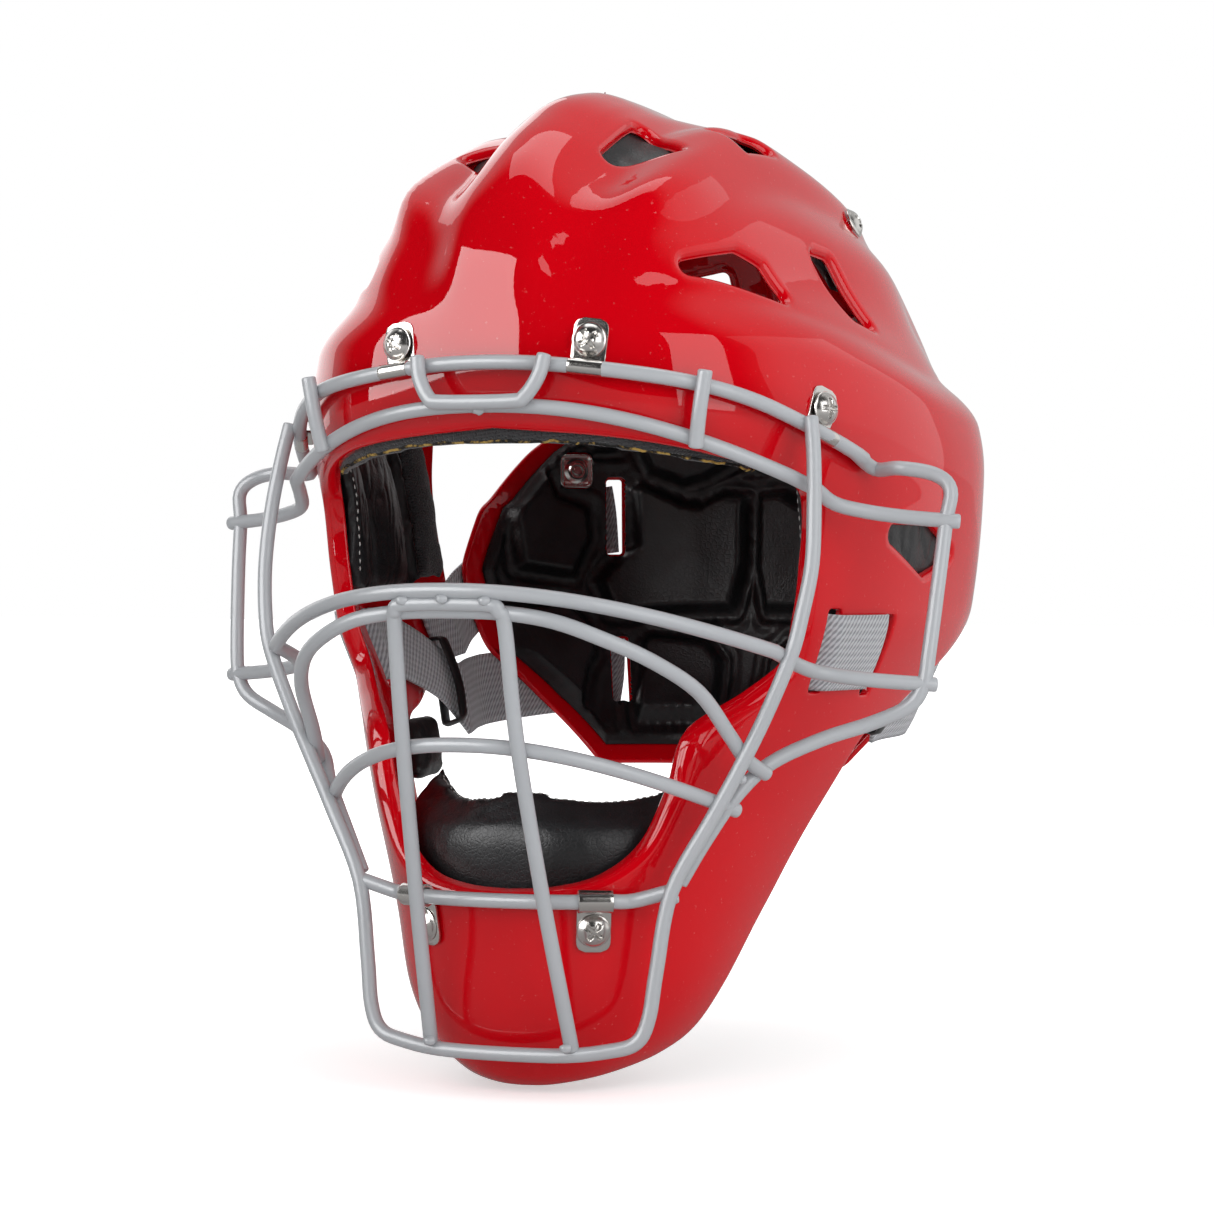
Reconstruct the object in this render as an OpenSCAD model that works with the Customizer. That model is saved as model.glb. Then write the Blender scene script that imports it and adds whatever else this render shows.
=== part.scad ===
// Hockey-style catcher's mask: a moulded shell with a welded wire cage,
// a hinged back plate, foam pads and elastic straps.
// Origin: centre of the head at ear level. The face looks along -Y, up is +Z,
// and +X is the wearer's left.

/* [Shell] */
// Width of the shell over the flared flanges beside the ears
shell_w = 224; // [216:1:232]
// Depth of the shell from brow to nape
shell_l = 263; // [254:1:272]
// Height of the shell from crown to chin
shell_h = 331; // [320:1:342]
// Thickness of the moulded shell
shell_wall = 3; // [2.6:0.1:3.4]
// Height of the ribs and depth of the valleys on the crown
relief_h = 5; // [3:0.5:6]

/* [Back plate] */
// Thickness of the back plate
plate_wall = 2.5; // [2:0.1:3]
// Clear gap between the crown and the back plate under it
plate_gap = 2; // [1.6:0.1:2.6]
// Diameter of the two hinge pins
hinge_pin_d = 4; // [3:0.5:5]
// Swing of the back plate drawn in the model
plate_swing = 0; // [0:1:12]

/* [Cage] */
// Diameter of the coated cage wire
wire_d = 4.8; // [4.2:0.2:5.6]
// Thickness of the sheet metal of the cage clips
clip_t = 1.2; // [1:0.1:1.5]
// Width of a cage clip along the wire
clip_w = 12; // [10:0.5:13]

/* [Fasteners] */
// Diameter of the screw heads
head_d = 11; // [9:0.5:12]
// Height of the domed screw heads
head_h = 3; // [2:0.2:3.6]
// Diameter of the screw shanks
shank_d = 4; // [3:0.5:5]
// Side of the square nut plates
nut_w = 13; // [11:0.5:14]
// Thickness of the square nut plates
nut_t = 1.2; // [1:0.1:1.6]

/* [Pads and straps] */
// Thickness of the pads on the crown and brow
pad_t = 9; // [7:0.5:11]
// Thickness of the liner in the back plate
liner_t = 8; // [6:0.5:10]
// Thickness of the cupped chin pad
chin_pad_t = 20; // [16:1:24]
// Width of the elastic straps
strap_w = 26; // [22:1:28]
// Thickness of the elastic straps
strap_t = 1.6; // [1.2:0.1:2]

/* [Hidden] */
$fn = 32;
red = [0.78, 0.04, 0.09];
black = [0.09, 0.09, 0.10];
wire_grey = [0.66, 0.67, 0.69];
chrome = [0.80, 0.80, 0.78];
elastic_grey = [0.45, 0.44, 0.46];

// The free-form shape is drawn at these sizes and stretched to the driving ones
form = [shell_w / 224, shell_l / 263, shell_h / 331];
function place(p) = [p[0] * form[0], p[1] * form[1], p[2] * form[2]];

// Rows down the shell: height, half width, front, back, centre, roundness
ROWS = [
    [149, 0.1, -32, -32, -32, 2.0],
    [147.5, 18, -50, 10, -25, 2.0],
    [144, 33, -66, 48, -16, 2.0],
    [138, 42, -80, 69, -9, 2.05],
    [128, 51, -98, 89, 0, 2.1],
    [111, 68, -119, 110, 5, 2.2],
    [92, 83, -129, 127, 12, 2.2],
    [74, 94, -131, 132, 15, 2.2],
    [58, 99, -131, 132, 17, 2.2],
    [44, 103, -130, 132, 22, 2.2],
    [30, 105, -129, 132, 29, 2.1],
    [14, 104, -128, 131, 34, 2.05],
    [-4, 102, -128, 130, 36, 2.05],
    [-22, 99, -129, 128, 38, 2.05],
    [-40, 95, -131, 124, 38, 2.1],
    [-58, 91, -132, 118, 34, 2.15],
    [-78, 83, -130, 105, 22, 2.25],
    [-98, 73, -125, 90, 2, 2.4],
    [-122, 62, -119, 60, -33, 2.4],
    [-146, 53, -117, 20, -54, 2.4],
    [-162, 44, -114, 0, -60, 2.3],
    [-172, 32, -109, -20, -66, 2.2],
    [-177, 20, -102, -40, -72, 2.1]];
last_row = len(ROWS) - 1;

// Smooth hill of height 1 and half width w, and smooth ramp from a to b
function bell(d, w) = let (q = min(abs(d) / w, 1)) pow(1 - q * q, 2);
function ramp(a, b, v) = let (q = min(max((v - a) / (b - a), 0), 1)) q * q * (3 - 2 * q);

// A row at any height step t, by a curve through its four neighbours
function row_at(i) =
    i < 0 ? [ROWS[1][0], -ROWS[1][1], ROWS[1][3], ROWS[1][2], ROWS[1][4], ROWS[1][5]] :
    i > last_row ? 2 * ROWS[last_row] - ROWS[last_row - 1] : ROWS[i];
function through(p0, p1, p2, p3, f) =
    0.5 * (2 * p1 + (p2 - p0) * f + (2 * p0 - 5 * p1 + 4 * p2 - p3) * f * f
           + (3 * p1 - p0 - 3 * p2 + p3) * f * f * f);
function row(t) =
    let (i = min(max(floor(t), 0), last_row - 1))
    through(row_at(i - 1), row_at(i), row_at(i + 1), row_at(i + 2), t - i);

// The plain egg of the shell at turn a (0 at the face, 90 at the left ear) and step t
function egg(a, t) =
    let (r = row(t), s = sin(a), c = cos(a),
         depth = c > 0 ? r[4] - r[2] : r[3] - r[4],
         reach = pow(pow(abs(s) / max(r[1], 0.1), r[5]) + pow(abs(c) / max(depth, 0.1), r[5]), -1 / r[5]))
    place([reach * s, r[4] - reach * c, r[0]]);
function unit(v) = v / norm(v);
function facing(a, t) =
    let (u = max(t, 0.05))
    unit(cross(egg(a, u + 0.02) - egg(a, u - 0.02), egg(a + 0.5, u) - egg(a - 0.5, u)));

// Ribs, valleys, side vent dishes and the flared belt, as a height over the egg
function shoulder(y) = 73 - 23 * ramp(-110, 50, y);
function relief(p) =
    let (x = abs(p[0]) / form[0], y = p[1] / form[1], z = p[2] / form[2], k = relief_h,
         belt = shoulder(y))
    k * bell(x, 17) * ramp(100, 125, z)
    - k * bell(x - 28, 16) * ramp(104, 122, z) * (1 - 0.8 * ramp(-50, -5, y)) * ramp(125, 60, y)
    + k * bell(x - 44 - 10 * ramp(-60, 60, y), 15) * ramp(100, 116, z) * ramp(110, 60, y)
    - k * bell(x - 28, 18) * bell(z - 95, 26) * ramp(-90, -115, y)
    + 1.4 * k * ramp(22, 62, x) * ramp(belt + 10, belt - 10, z) * ramp(-60, -20, z)
    - k * bell(z - belt - 26, 26) * ramp(60, 84, x) * ramp(-112, -85, y) * ramp(100, 60, y);

// A point of the finished skin, raised by off along the skin's own normal
function skin(a, t, off = 0) =
    let (p = egg(a, t), n = facing(a, t)) p + n * (relief(p) + off);

// A place on the skin as a frame: X along the skin, Y up the skin, Z outward
function skin_frame(a, t, off = 0) =
    let (o = skin(a, t, off), e = skin(a, t - 0.1, off), w = skin(a + 1, t, off),
         n = unit(cross(unit(w - o), unit(e - o))), x = unit(w - o), y = cross(n, x))
    [[x[0], y[0], n[0], o[0]], [x[1], y[1], n[1], o[1]], [x[2], y[2], n[2], o[2]], [0, 0, 0, 1]];
module on_skin(a, t, off = 0) {
    multmatrix(skin_frame(a, t, off)) children();
}
module both_sides() {
    children();
    mirror([1, 0, 0]) children();
}

// Faces of a grid with n points a line: cell i between lines j and j + 1
function cell(i, j, n, k = 0, flip = false) =
    let (p = k + j * n + i, q = k + (j + 1) * n + i)
    flip ? [[p, p + 1, q], [p + 1, q + 1, q]] : [[p, q, p + 1], [p + 1, q, q + 1]];

// A whole cap of the skin from the pole down to step t_end, between two heights
cap_turns = 52;
shell_steps = 31;
module cap(t_end, outer, inner, steps) {
    n = cap_turns;
    ring = function (t, off) [for (i = [0 : n - 1]) skin(i * 360 / n, t, off)];
    points = concat(
        [skin(0, 0.001, outer)], [for (j = [1 : steps]) each ring(t_end * j / steps, outer)],
        [skin(0, 0.001, inner)], [for (j = [1 : steps]) each ring(t_end * j / steps, inner)]);
    half = 1 + n * steps;
    id = function (side, j, i) side * half + 1 + (j - 1) * n + i % n;
    faces = concat(
        [for (i = [0 : n - 1]) [0, id(0, 1, i + 1), id(0, 1, i)]],
        [for (i = [0 : n - 1]) [half, id(1, 1, i), id(1, 1, i + 1)]],
        [for (j = [1 : steps - 1], i = [0 : n - 1]) each [
            [id(0, j, i), id(0, j, i + 1), id(0, j + 1, i)],
            [id(0, j, i + 1), id(0, j + 1, i + 1), id(0, j + 1, i)],
            [id(1, j, i), id(1, j + 1, i), id(1, j, i + 1)],
            [id(1, j, i + 1), id(1, j + 1, i), id(1, j + 1, i + 1)]]],
        [for (i = [0 : n - 1]) each [
            [id(0, steps, i), id(0, steps, i + 1), id(1, steps, i)],
            [id(0, steps, i + 1), id(1, steps, i + 1), id(1, steps, i)]]]);
    polyhedron(points, faces, convexity = 8);
}

// Values from a to b in n equal steps
function spread(a, b, n) = [for (i = [0 : n]) a + (b - a) * i / n];
function level(v) = function (a) v;

// A closed block between two sheets of nu + 1 by nv + 1 points, row by row
module block(outer, inner, nu, nv) {
    n = nu + 1;
    m = n * (nv + 1);
    faces = concat(
        [for (j = [0 : nv - 1], i = [0 : nu - 1]) each cell(i, j, n, 0, true)],
        [for (j = [0 : nv - 1], i = [0 : nu - 1]) each cell(i, j, n, m)],
        [for (i = [0 : nu - 1]) each [[i, m + i, i + 1], [i + 1, m + i, m + i + 1]]],
        [for (i = [0 : nu - 1]) let (p = nv * n + i) each [[p, p + 1, m + p], [p + 1, m + p + 1, m + p]]],
        [for (j = [0 : nv - 1]) let (p = j * n, q = p + n) each [[p, q, m + p], [q, m + q, m + p]]],
        [for (j = [0 : nv - 1]) let (p = j * n + nu, q = p + n) each [[p, m + p, q], [q, m + p, m + q]]]);
    polyhedron(concat(outer, inner), faces, convexity = 6);
}

// A piece that lies along the skin at a list of turns. Its top and low edges and
// its outer and inner heights are functions of the turn.
module patch(turns, top, low, outer, inner, nv) {
    sheet = function (off) [for (j = [0 : nv], a = turns)
        skin(a, top(a) + (low(a) - top(a)) * j / nv, off(a))];
    block(sheet(outer), sheet(inner), len(turns) - 1, nv);
}

// A round wire along points, with eight sides; lean is a direction it never runs along
function through_all(p, k) =
    let (n = len(p) - 1, at = function (i) i < 0 ? 2 * p[0] - p[1] : i > n ? 2 * p[n] - p[n - 1] : p[i])
    concat([for (i = [0 : n - 1], j = [0 : k - 1]) through(at(i - 1), at(i), at(i + 1), at(i + 2), j / k)],
           [p[n]]);
function placed(list) = [for (p = list) place(p)];
function reversed(list) = [for (i = [len(list) - 1 : -1 : 0]) list[i]];
function mirrored(list) = [for (p = list) [-p[0], p[1], p[2]]];
module wire(path, lean = [0, 1, 0], d = wire_d) {
    n = 8;
    last = len(path) - 1;
    rings = [for (i = [0 : last])
        let (run = unit(path[min(i + 1, last)] - path[max(i - 1, 0)]),
             u = unit(cross(run, lean)), v = cross(run, u))
        each [for (s = [0 : n - 1]) path[i] + d / 2 * (cos(360 * s / n) * u + sin(360 * s / n) * v)]];
    walls = [for (i = [0 : last - 1], s = [0 : n - 1])
        let (p = i * n + s, q = i * n + (s + 1) % n) each [[p, p + n, q], [q, p + n, q + n]]];
    ends = [for (s = [1 : n - 2]) each [[0, s, s + 1], [last * n, last * n + s + 1, last * n + s]]];
    polyhedron(rings, concat(walls, ends), convexity = 6);
}

// A symmetric bow: its reach to each side, its middle and its ends in the YZ plane, and its power
function bow_point(b, x) =
    let (k = pow(abs(x) / b[0], b[3]))
    place([x, b[1][0] + (b[2][0] - b[1][0]) * k, b[1][1] + (b[2][1] - b[1][1]) * k]);
function bow(b, steps) = [for (i = [-steps : steps]) bow_point(b, b[0] * i / steps)];

// Where things lie on the skin, as turn and step
seat = 0.4;
pad_gap = 0.9;
wire_lie = wire_d / 2 + clip_t + seat;
function top_bar_step(a) = 8 + 2.05 * pow(a / 48, 2);
function top_bar_at(a) = skin(a, top_bar_step(a), wire_lie);
chin_bar_step = 17.62;
chin_bar_turn = 24;
bar_clear = (wire_d + head_d) / 2 + 1;
BROW_CLIP = [13, top_bar_step(13) - bar_clear / 15.5];
TEMPLE_CLIP = [43, top_bar_step(43) - bar_clear / 14];
CHIN_CLIP = [20, chin_bar_step + bar_clear / 21];
CROWN_SCREW = [122, 4.9];
PLATE_SCREW = [138.5, 10.1];
STRAP_SLOT_FRONT = [42.5, 13.7];
STRAP_SLOT_REAR = [57, 13.8];
UPPER_SLOT = [145.5, 11.2];
LOWER_SLOT = [144.5, 14.6];
slot_gap = 6.6;

// The face opening, the trim line and the vents
FACE = [[0, 37], [35, 34], [64, 29], [84, 21], [87, 10], [84, -17], [78, -38], [69, -49],
        [56, -61], [51.5, -79], [44, -97], [32, -107], [16, -111], [0, -112]];
TRIM = [[50, 62], [57, 37], [58, 16], [61, -15], [60, -25], [40, -41], [9, -57], [-9, -63], [-22, -79],
        [-35, -103], [-43, -120], [-57, -144], [-67, -160], [-80, -168], [-95, -174], [-104, -190]];
REAR_EDGE = [[50, 62], [80, 59], [110, 56.5], [150, 56.5]];
VENTS = [
    [[30, 2.35], [17, 3.75], [31, 3.7]],
    [[61, 3], [88, 3], [87, 3.5], [62, 3.55]],
    [[27, 6.12], [37, 5.9], [42, 6.05], [44.5, 6.45]],
    [[65, 5.7], [71, 5.75], [75.5, 6.75], [69, 6.6]],
    [[168, 5.5], [174, 5.4], [174, 5.9], [167, 5.9]]];
vent_round = 3;
EAR_HOLE = [[57.5, 11.55], [71, 11.55], [79, 11.9], [69, 12.15]];

module hole_through(corners, r, deep) {
    hull() for (c = corners) on_skin(c[0], c[1]) cylinder(r = r, h = 2 * deep, center = true, $fn = 16);
}
module strap_hole(at, tall) {
    on_skin(at[0], at[1]) cube([slot_gap, tall, 24], center = true);
}
module bore(at, d, from = -14, to = 14) {
    on_skin(at[0], at[1], 0) translate([0, 0, from]) cylinder(d = d, h = to - from);
}
module face_cut() {
    half = [for (p = FACE) [p[0] * form[0], p[1] * form[2]]];
    line = through_all(half, 3);
    loop = concat(line, reversed([for (p = line) [-p[0], p[1]]]));
    translate([0, -40 * form[1], 0]) rotate([90, 0, 0]) linear_extrude(150) polygon(loop);
}
module trim_cut() {
    front = [for (p = TRIM) [p[0] * form[1], p[1] * form[2]]];
    rear = [for (p = REAR_EDGE) [p[0] * form[1], p[1] * form[2]]];
    low = -260 * form[2];
    far = 220 * form[1];
    line = concat(through_all(reversed(rear), 3), through_all(front, 3), [[front[15][0], low], [far, low]]);
    rotate([90, 0, 90]) translate([0, 0, -200]) linear_extrude(400) polygon(line);
}

module shell() {
    color(red) difference() {
        cap(last_row, 0, -shell_wall, shell_steps);
        face_cut();
        trim_cut();
        both_sides() {
            for (v = VENTS) hole_through(v, vent_round, 9);
            hole_through(EAR_HOLE, vent_round, 9);
            strap_hole(STRAP_SLOT_FRONT, strap_w + 3);
            strap_hole(STRAP_SLOT_REAR, strap_w + 3);
            for (s = [BROW_CLIP, TEMPLE_CLIP, CHIN_CLIP, CROWN_SCREW]) bore(s, shank_d + 0.6);
            rivet_bores();
        }
    }
}

// Back plate: hangs on two hinge pins just inside the rear edge of the crown
plate_out = -(shell_wall + plate_gap);
plate_in = plate_out - plate_wall;
hinge_drop = hinge_pin_d / 2 + 4.5;
pin_play = 0.16;
hinge_at = skin(155, 7.9, plate_in - hinge_drop);
knuckle_w = 8;
plate_top = 7.65;
plate_low = 16.4;
function plate_edge(t) =
    lookup(t, [[7.6, 25], [8.2, 31], [9.6, 50], [10.8, 63], [11, 66], [12.3, 74], [14, 72], [15.1, 58], [16.4, 36]]);
module plate_patch(edge_in, t0, t1, outer, inner, nu, nv) {
    sheet = function (off) [for (t = spread(t0, t1, nv), f = spread(-1, 1, nu))
        skin(180 + f * (plate_edge(t) - edge_in), t, off)];
    block(sheet(outer), sheet(inner), nu, nv);
}

module swung() {
    translate([0, hinge_at[1], hinge_at[2]]) rotate([plate_swing, 0, 0])
        translate([0, -hinge_at[1], -hinge_at[2]]) children();
}
module along_x(x, d, len) {
    translate([x - len / 2, hinge_at[1], hinge_at[2]]) rotate([0, 90, 0]) cylinder(d = d, h = len);
}
module knuckle() {
    along_x(hinge_at[0], hinge_pin_d + 4, knuckle_w);
    translate([hinge_at[0] - knuckle_w / 2, hinge_at[1], hinge_at[2] - hinge_pin_d / 2 - 2])
        cube([knuckle_w, hinge_drop + 0.5, hinge_pin_d + 4]);
}
module back_plate() {
    color(red) swung() difference() {
        union() {
            plate_patch(0, plate_top, plate_low, plate_out, plate_in, 22, 16);
            both_sides() knuckle();
        }
        both_sides() {
            along_x(hinge_at[0], hinge_pin_d + pin_play, knuckle_w + 2);
            bore(PLATE_SCREW, shank_d + 0.6, -20, 4);
            strap_hole(UPPER_SLOT, strap_w + 3);
            strap_hole(LOWER_SLOT, strap_w + 3);
        }
    }
}
module back_liner() {
    top = plate_in - pad_gap;
    color(black) swung() difference() {
        plate_patch(5, 8.9, plate_low - 0.3, top, top - liner_t, 18, 12);
        both_sides() {
            bore(PLATE_SCREW, nut_w * 1.5, top - liner_t - 4, 4);
            strap_hole(UPPER_SLOT, strap_w + 5);
            strap_hole(LOWER_SLOT, strap_w + 5);
        }
    }
}

// Hinge brackets: a foot on the inside of the crown and two cheeks round each knuckle
cheek_t = 3;
cheek_gap = 0.4;
FOOT = [155, 6.5];
foot_top = -(shell_wall + 1.7);
foot_t = 2.5;
neck_h = 10;
rivet_d = 3;
rivet_out = 9.5;
module rivet_bores() {
    for (s = [-1, 1]) on_skin(FOOT[0], FOOT[1]) translate([s * rivet_out, 0, -9]) cylinder(d = rivet_d + 0.3, h = 12);
}
module hinge_brackets() {
    y0 = hinge_at[1] - hinge_pin_d / 2 - 1.6;
    z0 = hinge_at[2] - hinge_pin_d / 2 - 1.6;
    foot = skin(FOOT[0], FOOT[1], foot_top - foot_t / 2);
    color(chrome) both_sides() difference() {
        union() {
            for (s = [-1, 1])
                translate([hinge_at[0] + s * (knuckle_w / 2 + cheek_gap + cheek_t / 2) - cheek_t / 2, y0, z0])
                    cube([cheek_t, hinge_pin_d + 2.2, foot[2] - z0 - 4]);
            on_skin(FOOT[0], FOOT[1], foot_top - foot_t) {
                translate([-12, -4, 0]) cube([24, 9, foot_t]);
                translate([-6.5, -4, -neck_h]) cube([13, 7, neck_h + 0.5]);
            }
        }
        along_x(hinge_at[0], hinge_pin_d + pin_play, 40);
        rivet_bores();
    }
}
module hinge_pins() {
    color(chrome) both_sides() {
        along_x(hinge_at[0], hinge_pin_d, knuckle_w + 2 * (cheek_gap + cheek_t) + 1);
    }
}
module bracket_rivets() {
    color(chrome) both_sides() for (s = [-1, 1]) on_skin(FOOT[0], FOOT[1])
        translate([s * rivet_out, 0, 0]) {
            translate([0, 0, foot_top - foot_t - 0.3]) cylinder(d = rivet_d, h = 0.5 - foot_top + foot_t + seat);
            translate([0, 0, seat]) cylinder(d = 2 * rivet_d, h = 1);
            translate([0, 0, foot_top - foot_t - 1]) cylinder(d = 1.5 * rivet_d, h = 0.9);
        }
}

// Pads: foam covered in black leather, lying just inside the shell
pad_out = -(shell_wall + pad_gap);
module brow_pad() {
    top = function (a) 8.75 + 0.8 * pow(a / 37, 2);
    low = function (a) 9.95 + 0.8 * pow(a / 37, 2);
    color(black) patch(spread(-36, 36, 18), top, low, level(pad_out - 0.3), level(pad_out - pad_t), 4);
}
module crown_pad() {
    color(black) difference() {
        cap(last_row * 6 / shell_steps, pad_out, pad_out - pad_t, 6);
        both_sides() bore(CROWN_SCREW, nut_w * 1.5, -40, 4);
    }
}
module crown_side_pad() {
    color(black) difference() {
        patch(spread(78, 146, 14), level(4.8), level(6.0), level(pad_out - 0.7), level(pad_out - pad_t), 4);
        bore(CROWN_SCREW, nut_w * 1.5, -40, 4);
    }
}
ear_recess = pad_t / 2;
module temple_pad() {
    color(black) patch(spread(39, 84, 15), level(9.7), level(12.5), level(pad_out),
                       function (a) pad_out - pad_t + ear_recess * ramp(56, 60, a) * ramp(80, 76, a), 5);
}
module jaw_pad() {
    color(black) patch(spread(49, 68, 6), level(15.3), level(16.3), level(pad_out), level(pad_out - pad_t), 4);
}
chin_pad_out = pad_out - 5.4;
module chin_pad() {
    color(black) patch(spread(-45, 45, 20), level(16.05), level(18.3), level(chin_pad_out),
                       level(chin_pad_out - chin_pad_t), 7);
}

// Screws, their square nut plates and the clips
module screw_shape(under, reach) {
    dome = (head_h * head_h + head_d * head_d / 4) / (2 * head_h);
    difference() {
        translate([0, 0, under]) rotate_extrude() intersection() {
            translate([0, head_h - dome]) circle(dome, $fn = 96);
            square([head_d / 2, head_h]);
        }
        for (r = [0, 90]) rotate(r) translate([-head_d / 4, -0.6, under + head_h - 1.4])
            cube([head_d / 2, 1.2, 2]);
    }
    translate([0, 0, -reach]) cylinder(d = shank_d, h = reach + under + 0.2);
}
nut_sag = nut_w * nut_w / 150;
module nut_shape(under) {
    translate([0, 0, -under - nut_sag - nut_t]) difference() {
        union() {
            translate([-nut_w / 2, -nut_w / 2, 0]) cube([nut_w, nut_w, nut_t]);
            translate([0, 0, -2.5]) cylinder(d = shank_d + 3, h = 3);
        }
        translate([0, 0, -5]) cylinder(d = shank_d + 0.2, h = 12);
    }
}
screw_reach = shell_wall + seat + nut_sag + nut_t + 2;
module cage_screws() {
    color(chrome) both_sides() for (s = [BROW_CLIP, TEMPLE_CLIP, CHIN_CLIP])
        on_skin(s[0], s[1]) screw_shape(seat + clip_t, screw_reach);
}
module cage_nuts() {
    color(chrome) both_sides() for (s = [BROW_CLIP, TEMPLE_CLIP, CHIN_CLIP])
        on_skin(s[0], s[1]) nut_shape(shell_wall + 2 * seat);
}
module crown_screws() {
    color(chrome) both_sides() on_skin(CROWN_SCREW[0], CROWN_SCREW[1]) screw_shape(seat + 0.2, screw_reach + 1);
}
module crown_nuts() {
    color(chrome) both_sides() on_skin(CROWN_SCREW[0], CROWN_SCREW[1]) nut_shape(shell_wall + 2 * seat + 0.5);
}
module plate_screws() {
    color(chrome) swung() both_sides() on_skin(PLATE_SCREW[0], PLATE_SCREW[1], plate_out)
        screw_shape(seat, screw_reach - shell_wall + plate_wall);
}
module plate_nuts() {
    color(chrome) swung() both_sides() on_skin(PLATE_SCREW[0], PLATE_SCREW[1], plate_out)
        nut_shape(plate_wall + seat);
}

// A strip of sheet metal screwed to the shell at its flat end and curled round the wire
function local(frame, p) =
    let (o = [for (r = [0 : 2]) frame[r][3]], x = [for (r = [0 : 2]) frame[r][0]],
         y = [for (r = [0 : 2]) frame[r][1]], z = [for (r = [0 : 2]) frame[r][2]])
    [(p - o) * x, (p - o) * y, (p - o) * z];
module clip(at, centre) {
    frame = skin_frame(at[0], at[1]);
    c = local(frame, centre(at[0]));
    ahead = local(frame, centre(at[0] + 1)) - c;
    lean = atan2(ahead[1], ahead[0]);
    y = c[1] * cos(lean) - c[0] * sin(lean);
    s = sign(y);
    inner = wire_d / 2 + 0.2;
    tail = head_d / 2 + 0.8;
    neck = [[y - s * 4, seat + 0.1 * clip_t], [y - s * 4, seat + 0.9 * clip_t],
            [y - s, c[2] - 0.8 * inner], [y, c[2] - inner - 0.9 * clip_t]];
    on_skin(at[0], at[1]) rotate(lean) difference() {
        rotate([90, 0, 90]) linear_extrude(clip_w, center = true) difference() {
            union() {
                translate([min(-s * tail, y - s * 2), seat]) square([abs(y) + tail - 2, clip_t]);
                polygon(s < 0 ? neck : reversed(neck));
                translate([y, c[2]]) circle(inner + clip_t);
            }
            translate([y, c[2]]) circle(inner);
        }
        translate([0, 0, -1]) cylinder(d = shank_d + 0.4, h = 4);
    }
}
module brow_clips() {
    color(chrome) both_sides() clip(BROW_CLIP, function (a) top_bar_at(a));
}
module temple_clips() {
    color(chrome) both_sides() clip(TEMPLE_CLIP, function (a) top_bar_at(a));
}
module chin_clips() {
    color(chrome) both_sides() clip(CHIN_CLIP, function (a) skin(a, chin_bar_step, wire_lie));
}

// Cage wires
module top_bar() {
    color(wire_grey) wire([for (a = [-48 : 4 : 48]) top_bar_at(a)]);
}
BROW_SIDE = [[92.5, -80, 18], [96, -72, 13.5], [104, -66, 11], [117, -60, 9], [133, -54, 7.6]];
BROW_BOW = [91, [-136, 44.2], [-88, 20], 2.3];
module brow_bar() {
    side = placed(BROW_SIDE);
    core = bow(BROW_BOW, 8);
    color(wire_grey) wire(concat(mirrored(reversed(through_all(side, 2))), core, through_all(side, 2)),
                          [0.2, 0.3, 1]);
}
module brow_stub() {
    half = [[22, -137, 60], [20.5, -138.5, 53], [16.5, -140.2, 46.6], [12, -140.6, 45.2]];
    path = placed(concat(half, reversed(mirrored(half))));
    color(wire_grey) wire(path);
}
post_turn = 24.5;
post_front = wire_d - 0.2;
module brow_posts() {
    top = top_bar_at(post_turn) + [0.72, -0.62, 0.3] * post_front;
    low = bow_point(BROW_BOW, 64.2) + [0.3, -0.66, -0.2] * post_front;
    run = unit(top - low) * wire_d / 2;
    color(wire_grey) both_sides() wire([top + 1.2 * run, (top + low) / 2 + [0, -0.7, 0], low - 0.8 * run]);
}
FRAME_HALF = [[93, -86.3, 41], [95, -89.5, 28], [96.5, -93.5, 12], [97, -97, -6], [95, -101, -22], [92, -103, -35],
              [83.5, -104.2, -55], [75, -105.5, -72], [67, -107.5, -87], [55, -111.5, -110],
              [50.8, -114, -135], [48.8, -115.5, -150], [45, -116.5, -158], [36, -118.5, -161], [18, -121, -163]];
module face_frame() {
    color(wire_grey) wire(through_all(placed(concat(FRAME_HALF, reversed(mirrored(FRAME_HALF)))), 2));
}
LOOP = [[113, -56, 25], [124, -53.5, 23], [129.5, -53.5, 18], [128.5, -55, 8], [127.5, -58.5, -8],
        [125.5, -63.5, -34], [124, -65, -45], [119.5, -66.5, -52], [108, -70, -57.5], [94, -78, -62.5],
        [80, -88, -70], [72, -98.5, -80], [63, -104, -95], [56, -107, -108]];
module ear_loop() {
    start = [for (a = [46, 50]) top_bar_at(a)];
    color(wire_grey) wire(through_all(concat(start, placed(LOOP)), 2), [0.3, 1, 0.15]);
}
EYE_SIDE = [[88.5, -97, -36], [89.5, -88, -38.5], [94, -80, -41], [108, -73, -43.3], [128, -63, -45]];
module eye_bar() {
    core = bow([88, [-165, -14], [-107, -33.5], 2.2], 9);
    side = through_all(placed(EYE_SIDE), 2);
    color(wire_grey) wire(concat(mirrored(reversed(side)), core, side), [0.1, 0.2, 1]);
}
module cheek_arc() {
    half = [[80, -91, -73.5], [76, -100.5, -68], [73.5, -109, -60], [69.3, -125, -46], [60, -141, -36],
            [48, -152, -29], [34, -158, -23.5], [18, -160, -21]];
    color(wire_grey) wire(through_all(placed(concat(half, [[0, -160.5, -20.5]], reversed(mirrored(half)))), 2));
}
module lower_arc() {
    color(wire_grey) wire(bow([72, [-152, -62.5], [-96.5, -85], 2.2], 11), [0, 0.3, 1]);
}
module nose_guard() {
    half = [[24.7, -121, -161], [22, -138, -112], [19.6, -153.3, -61], [18.8, -160.5, -26], [17.6, -162.8, -20.5],
            [13.5, -163.6, -18.3]];
    color(wire_grey) wire(through_all(placed(concat(half, reversed(mirrored(half)))), 2));
}
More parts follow.
